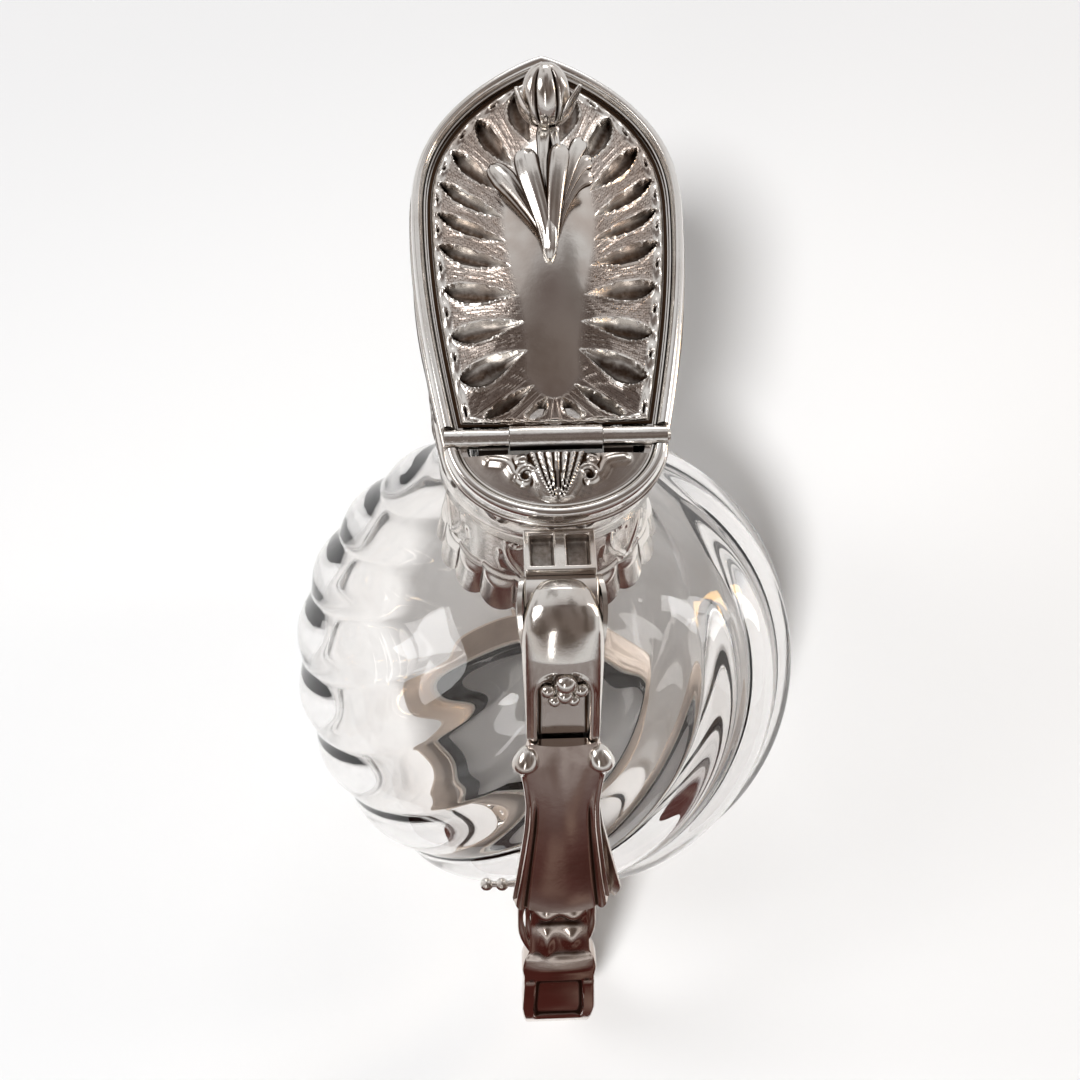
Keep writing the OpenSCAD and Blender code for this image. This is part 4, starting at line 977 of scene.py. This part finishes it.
# ---- Handle: hood ---------------------------------------------------------
# A smooth domed shell over the top of the scroll. Its lower edge is an arch, and the shell runs on at either side
# of the arch as the walls of the channel.
hood_t = np.linspace(0.02, 0.505, 130)
sections = []
a = np.linspace(0, math.pi, 81)
for k in hood_t:
    width = float(
        np.interp(
            k, [0.02, 0.04, 0.08, 0.12, 0.16, 0.21, 0.30, 0.40, 0.51],
            [5.0, 9.0, 12.6, 14.8, 16.4, 17.2, 17.0, 16.2, 15.6],
        )
    )
    high = float(
        np.interp(
            k, [0.02, 0.04, 0.08, 0.13, 0.20, 0.28, 0.34, 0.42, 0.505], [0.4, 2.0, 3.8, 4.9, 5.3, 5.0, 4.0, 2.6, 1.2],
        )
    )
    arch = 5.7 * math.sqrt(max(0.0, 1 - max(0.0, (0.385 - k) / 0.075) ** 2)) if k > 0.31 else 0.0
    x = width / 2 * np.cos(a)
    opening = ease((arch - np.abs(x)) / 0.7) if arch else 0 * x
    lip = 0.35 * np.exp(-(((np.abs(x) - arch - 0.5) / 0.5) ** 2)) if arch else 0 * x
    d = (0.1 + high * np.sin(a) ** 0.85 + lip) * (1 - opening) - 0.9 * opening
    sections.append(np.concatenate([np.stack([x, d], -1), [[-width / 2 * 0.96, -1.3], [width / 2 * 0.96, -1.3]]]))
hood = skin("handle_hood", handle_rings(UPPER, hood_t, sections), caps=True, angle=60)
hollows(hood, 0.25, 6)
hood_silver = silver("smooth cast silver", (0.78, 0.75, 0.71, 1), 0.5, 0.15)
hood.data.materials.append(hood_silver)
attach(hood, "jug")
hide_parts("handle_thumb_leaf")

# ---- Handle: berries ------------------------------------------------------
# Cast berries cluster in the hood's arch, on the floor of the channel.
berries = []
c, d, out = along(UPPER, np.array([0.36]))
c, d, out = c[0], d[0], out[0]
for x, on, r in (
    (0.4, -1.6, 2.5), (-3.3, 0.4, 1.7), (3.6, 0.4, 1.7), (0.2, 1.6, 1.9), (-1.9, 3.0, 1.4), (2.0, 2.9, 1.4),
):
    up = 0.6 * r + 1.3
    spot = (x, c[0] + d[0] * on + out[0] * up, c[1] + d[1] * on + out[1] * up)
    bpy.ops.mesh.primitive_uv_sphere_add(segments=28, ring_count=18, radius=r * MM, location=[q * MM for q in spot])
    berry = bpy.context.object
    bpy.ops.object.transform_apply(location=True, rotation=True, scale=True)
    berries.append(berry)
cluster = join(berries)
cluster.name = "handle_berries"
tidy(cluster, angle=60)
cluster.data.materials.append(cast)
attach(cluster, "jug")
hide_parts("handle_berries")

# ---- Handle: leaf and its side scrolls ------------------------------------
# A long smooth leaf lies on the lower half of the upper scroll. It springs from two rolled ears, is drawn in at a
# waist and spreads to a curved lip. A bead follows each edge, and a strip stands out on the right.
LEAF_FROM = 0.51
LEAF_SPAN = 0.475
LIP_RISE = 2.6
leaf_s = np.linspace(0, 1, 120)


def leaf_half(s):
    at = np.linspace(-0.2, 1.2, 281)
    plan = np.interp(
        at, [0, 0.10, 0.24, 0.36, 0.50, 0.69, 0.85, 1.0], [15.0, 18.8, 16.6, 15.6, 16.4, 18.6, 20.6, 22.8],
    ) / 2
    return np.interp(s, at, smoothed(plan, 15))


sections = []
q = np.linspace(-1, 1, 81)
for s in leaf_s:
    half = float(leaf_half(s))
    body = 1 - 0.55 * q**2
    groove = np.exp(-(((np.abs(q) - 0.74) / 0.04) ** 2)) * float(ease((s - 0.30) / 0.2))
    roll = 0.30 * np.exp(-(((np.abs(q) - 0.86) / 0.07) ** 2)) * float(ease((s - 0.25) / 0.2))
    end = ease((1 - np.abs(q)) / 0.07)
    rise = 0.1 + LIP_RISE * s**8
    top = np.stack([q * half, rise + (0.25 + 2.4 * (body - 0.20 * groove + roll)) * end], -1)
    low = np.stack([q[::-1][1:-1] * half, np.full(79, rise - 0.05)], -1)
    sections.append(np.concatenate([top, low]))
rings = handle_rings(UPPER, LEAF_FROM + LEAF_SPAN * leaf_s, sections)
c, d, out = along(UPPER, LEAF_FROM + LEAF_SPAN * leaf_s)
tongue = np.concatenate([1 - q**2, (1 - q**2)[::-1][1:-1]])
rings[:, :, 1:] += (ease((leaf_s - 0.75) / 0.25)[:, None] * 2.2 * tongue[None])[..., None] * d[:, None, :]
leaf = skin("handle_leaf", rings, caps=True, angle=50)
hollows(leaf, 0.14, 6)
leaf_silver = silver("dark cast silver", (0.70, 0.62, 0.57, 1), 0.9, 0.14, patina_and_shade=1.1)
leaf.data.materials.append(leaf_silver)
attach(leaf, "jug")
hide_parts("handle_lower_leaf")

rolls = []
s = np.linspace(0, 1, 90)
roll_s = 0.02 + 0.95 * s
half = leaf_half(roll_s)
start = np.sqrt(np.clip(1 - ((0.08 - s) / 0.0805) ** 2, 0, 1))
knob = np.where(s < 0.08, start, np.exp(-(((s - 0.08) / 0.055) ** 2)))
r = 0.05 + 2.3 * knob + 0.42 * ease(s / 0.1) + 0.4 * np.exp(-s / 0.25) * ease(s / 0.1)
lift = 1.0 + r * 0.3 + LIP_RISE * (0.95 * s) ** 8
a = circle(24)[:, None]
for side in (-1, 1):
    sections = np.stack([side * (half - r * 0.35) + r * np.cos(a), lift + r * np.sin(a)], -1).swapaxes(0, 1)
    rolls.append(skin("side_scroll", handle_rings(UPPER, LEAF_FROM + LEAF_SPAN * roll_s, sections), caps=True))
s = np.linspace(0.30, 0.99, 50)
strip = []
for i, k in enumerate(s):
    half = float(leaf_half(k))
    reach = (0.4 + 3.0 * ((k - 0.30) / 0.69) ** 1.2) * math.sqrt(min(1.0, (1.0 - k) / 0.05))
    low = LIP_RISE * k**8 - 0.6
    strip.append(
        np.array(
            [
                (half - 1.2, low - 0.8), (half + reach * 0.5, low + 0.4), (half + reach - 0.3, low + 1.0),
                (half + reach, low + 0.7), (half + reach, low - 0.2), (half + reach * 0.5, low - 0.8),
            ]
        )
    )
rolls.append(skin("side_strip", handle_rings(UPPER, LEAF_FROM + LEAF_SPAN * s, strip), caps=True, angle=50))
side_scrolls = join(rolls)
side_scrolls.name = "side_scrolls"
side_scrolls.data.materials.append(cast)
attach(side_scrolls, "jug")
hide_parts("handle_side_scrolls")

# ---- Handle: lower scroll -------------------------------------------------
# The lower scroll goes on from the leaf's lip to the foot: a knotted neck, a broad shoulder, and a long panel in a
# raised frame that runs down the outside to the heel.
LOWER = [(-89.505, 91.92), (-90.449, 77.95), (-100, 66), (-100, 42)]
HEEL = [(-100, 42), (-100, 14), (-84, 0.6), (-56, 2.2)]
rings = []
for part, (curve, w0, w1, t0, t1, count) in enumerate(((LOWER, 14, 19, 7, 8, 100), (HEEL, 19, 11, 8, 7, 110))):
    t = np.linspace(0, 1, count)
    sections = []
    for k in t:
        width = w0 + (w1 - w0) * k
        if part == 0:
            neck = float(ease((0.60 - k) / 0.05))
            shoulder = math.exp(-(((k - 0.66) / 0.065) ** 2))
            panel = raised = float(ease((k - 0.755) / 0.03))
            width = width * (1 - 0.08 * neck + 0.09 * shoulder)
        else:
            neck, shoulder = 0.0, 0.0
            panel, raised = float(ease((0.12 - k) / 0.03)), float(ease((0.30 - k) / 0.04))

        def face(q, edge):
            across = np.cos(q * math.pi / 2) ** 0.5
            lumps = 1.5 * across * np.exp(-(((k - 0.23 + 0.025 * np.cos(2 * math.pi * q)) / 0.045) ** 2))
            lumps = lumps - 0.9 * across * np.exp(-(((k - 0.345) / 0.045) ** 2))
            lumps = lumps + 1.3 * np.exp(-(((q + 0.42) / 0.22) ** 2) - ((k - 0.47) / 0.10) ** 2)
            lumps = lumps + 1.1 * np.exp(-(((q - 0.40) / 0.26) ** 2) - ((k - 0.45) / 0.06) ** 2)
            frame_line = 0.55 * raised - 1.25 * panel * ease((edge - 2.9) / 0.5)
            return neck * (lumps - 0.6) + 1.3 * shoulder * across + frame_line

        sections.append(strap(width, t0 + (t1 - t0) * k, face=face))
    made = handle_rings(curve, t, sections)
    rings.append(made if part == 0 else made[1:])
last = rings[1][-1].copy()
last[:, 0] *= 0.9
last[:, 1] = -44.3
lower_rings = np.concatenate([rings[0], rings[1], last[None]])
lower = skin("lower_scroll", lower_rings, caps=True)
hollows(lower, 0.22, 8)
loops = []
for side, bulge, r, first, last in (
    (-1, 3.2, 0.95, 0.02, 0.57), (-1, 1.4, 0.8, 0.10, 0.50), (1, 1.7, 0.95, 0.02, 0.50), (1, 0.6, 0.8, 0.15, 0.55),
):
    u = np.linspace(0, 1, 44)
    a = circle(18)
    sections = []
    for k in u:
        x = side * (6.4 + bulge * math.sin(math.pi * k) ** 0.7)
        thick = r * (0.75 + 0.35 * math.sin(math.pi * k * 2.0) ** 2)
        sections.append(np.stack([x + thick * np.cos(a), thick * np.sin(a) - 1.6], -1))
    loops.append(skin("neck_loop", handle_rings(LOWER, first + (last - first) * u, sections), caps=True))
join([lower] + loops)
lower.data.materials.append(leaf_silver)
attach(lower, "jug")
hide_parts("handle_lower_scroll")

# ---- Handle: sprig --------------------------------------------------------
# A short stalk with two small beads on the left of the joint.
dress(cast, "handle_sprig")

# ---- Studio ---------------------------------------------------------------
# A pale floor under soft light, with the key behind the camera's left shoulder. In front, out of the picture, lies a
# brown cloth card that glows with its own painted colour instead of being lit, and only the silver and the glass show
# it. The world has a pale horizon, an open side and a cluttered one.
bpy.ops.mesh.primitive_plane_add(size=40, location=(0, 0, -0.0002))
floor = bpy.context.object
floor.name = "floor"
paper, surface, wire = new_look("pale paper")
where = wire.node("TexCoord", out=3)
far = wire.node("VectorMath", {"operation": "DISTANCE"}, 1, i0=where, i1=(0.03, 0.05, 0.0))
# The floor's colour is painted darker away from the jug, a painted falloff of light.
wire.put(surface.inputs["Base Color"], far.ramp(0.10, 0.42).mix((0.94, 0.94, 0.94, 1), (0.86, 0.86, 0.865, 1)))
surface.inputs["Roughness"].default_value = 0.9
surface.inputs["Specular IOR Level"].default_value = 0.0
floor.data.materials.append(paper)

bpy.ops.mesh.primitive_plane_add(size=1, location=(0, -0.8508, -0.0001))
cloth = bpy.context.object
cloth.name = "glowing_brown_cloth"
cloth.scale = (2.4, 1.4995, 1)
bpy.ops.object.transform_apply(location=True, rotation=True, scale=True)
glowing_brown_cloth, surface, wire = new_look("brown cloth")
where = wire.node("TexCoord", out=3)
away = wire.node("SeparateXYZ", out=1, i0=where)
cloud = wire.node("TexNoise", Vector=where, Scale=16.0, Detail=3.0)
red = cloud.ramp(0.48, 0.68).mix((0.075, 0.020, 0.016, 1), (0.26, 0.18, 0.15, 1))
brown = cloud.ramp(0.42, 0.62).mix((0.46, 0.43, 0.42, 1), (0.16, 0.12, 0.11, 1))
tone = (0.0 - away).ramp(0.17, 0.42).mix(red, brown)
# The cloth glows with this colour instead of being lit, so what the silver and glass reflect of it is painted light.
wire.put(glowing_brown_cloth.node_tree.nodes["Material Output"].inputs["Surface"], wire.node("Emission", Color=tone))
cloth.data.materials.append(glowing_brown_cloth)
cloth.visible_camera = cloth.visible_diffuse = cloth.visible_shadow = False

room = bpy.data.worlds.new("studio")
scene.world = room
room.use_nodes = True
wire = Wire(room.node_tree)
toward = wire.node("TexCoord", out=0)
north, height = (wire.node("SeparateXYZ", out=k, i0=toward) for k in (1, 2))
open_side = (north + height * 0.3).ramp(-0.35, 0.75)
wall_tone = open_side.mix((0.22, 0.18, 0.16, 1), (0.86, 0.85, 0.85, 1))
clutter = wire.node("TexNoise", Vector=toward, Scale=2.6, Detail=2.0)
wall_tone = (clutter.ramp(0.50, 0.62) * 0.75).mix(wall_tone, (0.10, 0.075, 0.06, 1))
person = wire.node("VectorMath", {"operation": "DISTANCE"}, 1, i0=toward, i1=(0.02, -0.20, 0.97)).ramp(0.46, 0.02)
sky = person.mix(wall_tone, (0.15, 0.115, 0.105, 1))
sky = height.ramp(0.12, 0.32).mix((0.84, 0.83, 0.825, 1), sky)
back = room.node_tree.nodes["Background"]
wire.put(back.inputs["Color"], sky)
wire.put(back.inputs["Strength"], 0.9 - wire.node("LightPath", out=2) * 0.66)

sun = bpy.data.lights.new("key", "SUN")
sun.energy = 2.95
sun.angle = math.radians(9)
key = bpy.data.objects.new("key", sun)
scene.collection.objects.link(key)
key.rotation_euler = (math.radians(90 - 42), 0, math.radians(-18))
key.visible_glossy = False

WHITE = (1.0, 1.0, 1.0)
for name, place, target, size, power, colour in (
    ("left softbox", (-0.75, -0.15, 0.75), (0, 0, 0.12), (0.40, 0.40), 2.6, WHITE),
    ("right strip", (0.85, 0.10, 0.45), (0, 0, 0.12), (0.12, 0.6), 1.1, WHITE),
    ("far softbox", (0.05, 0.95, 0.95), (0, 0, 0.15), (0.6, 0.25), 1.6, WHITE),
    ("front strip", (-0.25, -0.95, 0.60), (0, 0, 0.12), (0.10, 0.5), 0.8, WHITE),
    ("warm lamp", (0.69, 0.11, 0.33), (0.03, 0, 0.10), (0.10, 0.06), 0.25, (1.0, 0.60, 0.22)),
):
    lamp = bpy.data.lights.new(name, "AREA")
    lamp.shape = "RECTANGLE"
    lamp.size, lamp.size_y = size
    lamp.energy = power
    lamp.color = colour
    stand = bpy.data.objects.new(name, lamp)
    scene.collection.objects.link(stand)
    aim = np.array(target) - np.array(place)
    stand.location = place
    stand.rotation_euler = (
        math.atan2(math.hypot(aim[0], aim[1]), -aim[2]), 0, math.atan2(aim[1], aim[0]) - math.pi / 2,
    )

# ---- Camera ---------------------------------------------------------------
# It looks steeply down from behind the handle.
camera = bpy.data.cameras.new("camera")
camera.lens = 47.405
camera.sensor_width = 36
camera.clip_start = 0.01
viewer = bpy.data.objects.new("camera", camera)
scene.collection.objects.link(viewer)
viewer.location = (-0.013085, -0.227051, 0.413697)
viewer.rotation_euler = [math.radians(k) for k in (37.08476, -0.52544, -2.19318)]
scene.camera = viewer
scene.view_settings.view_transform = "Standard"
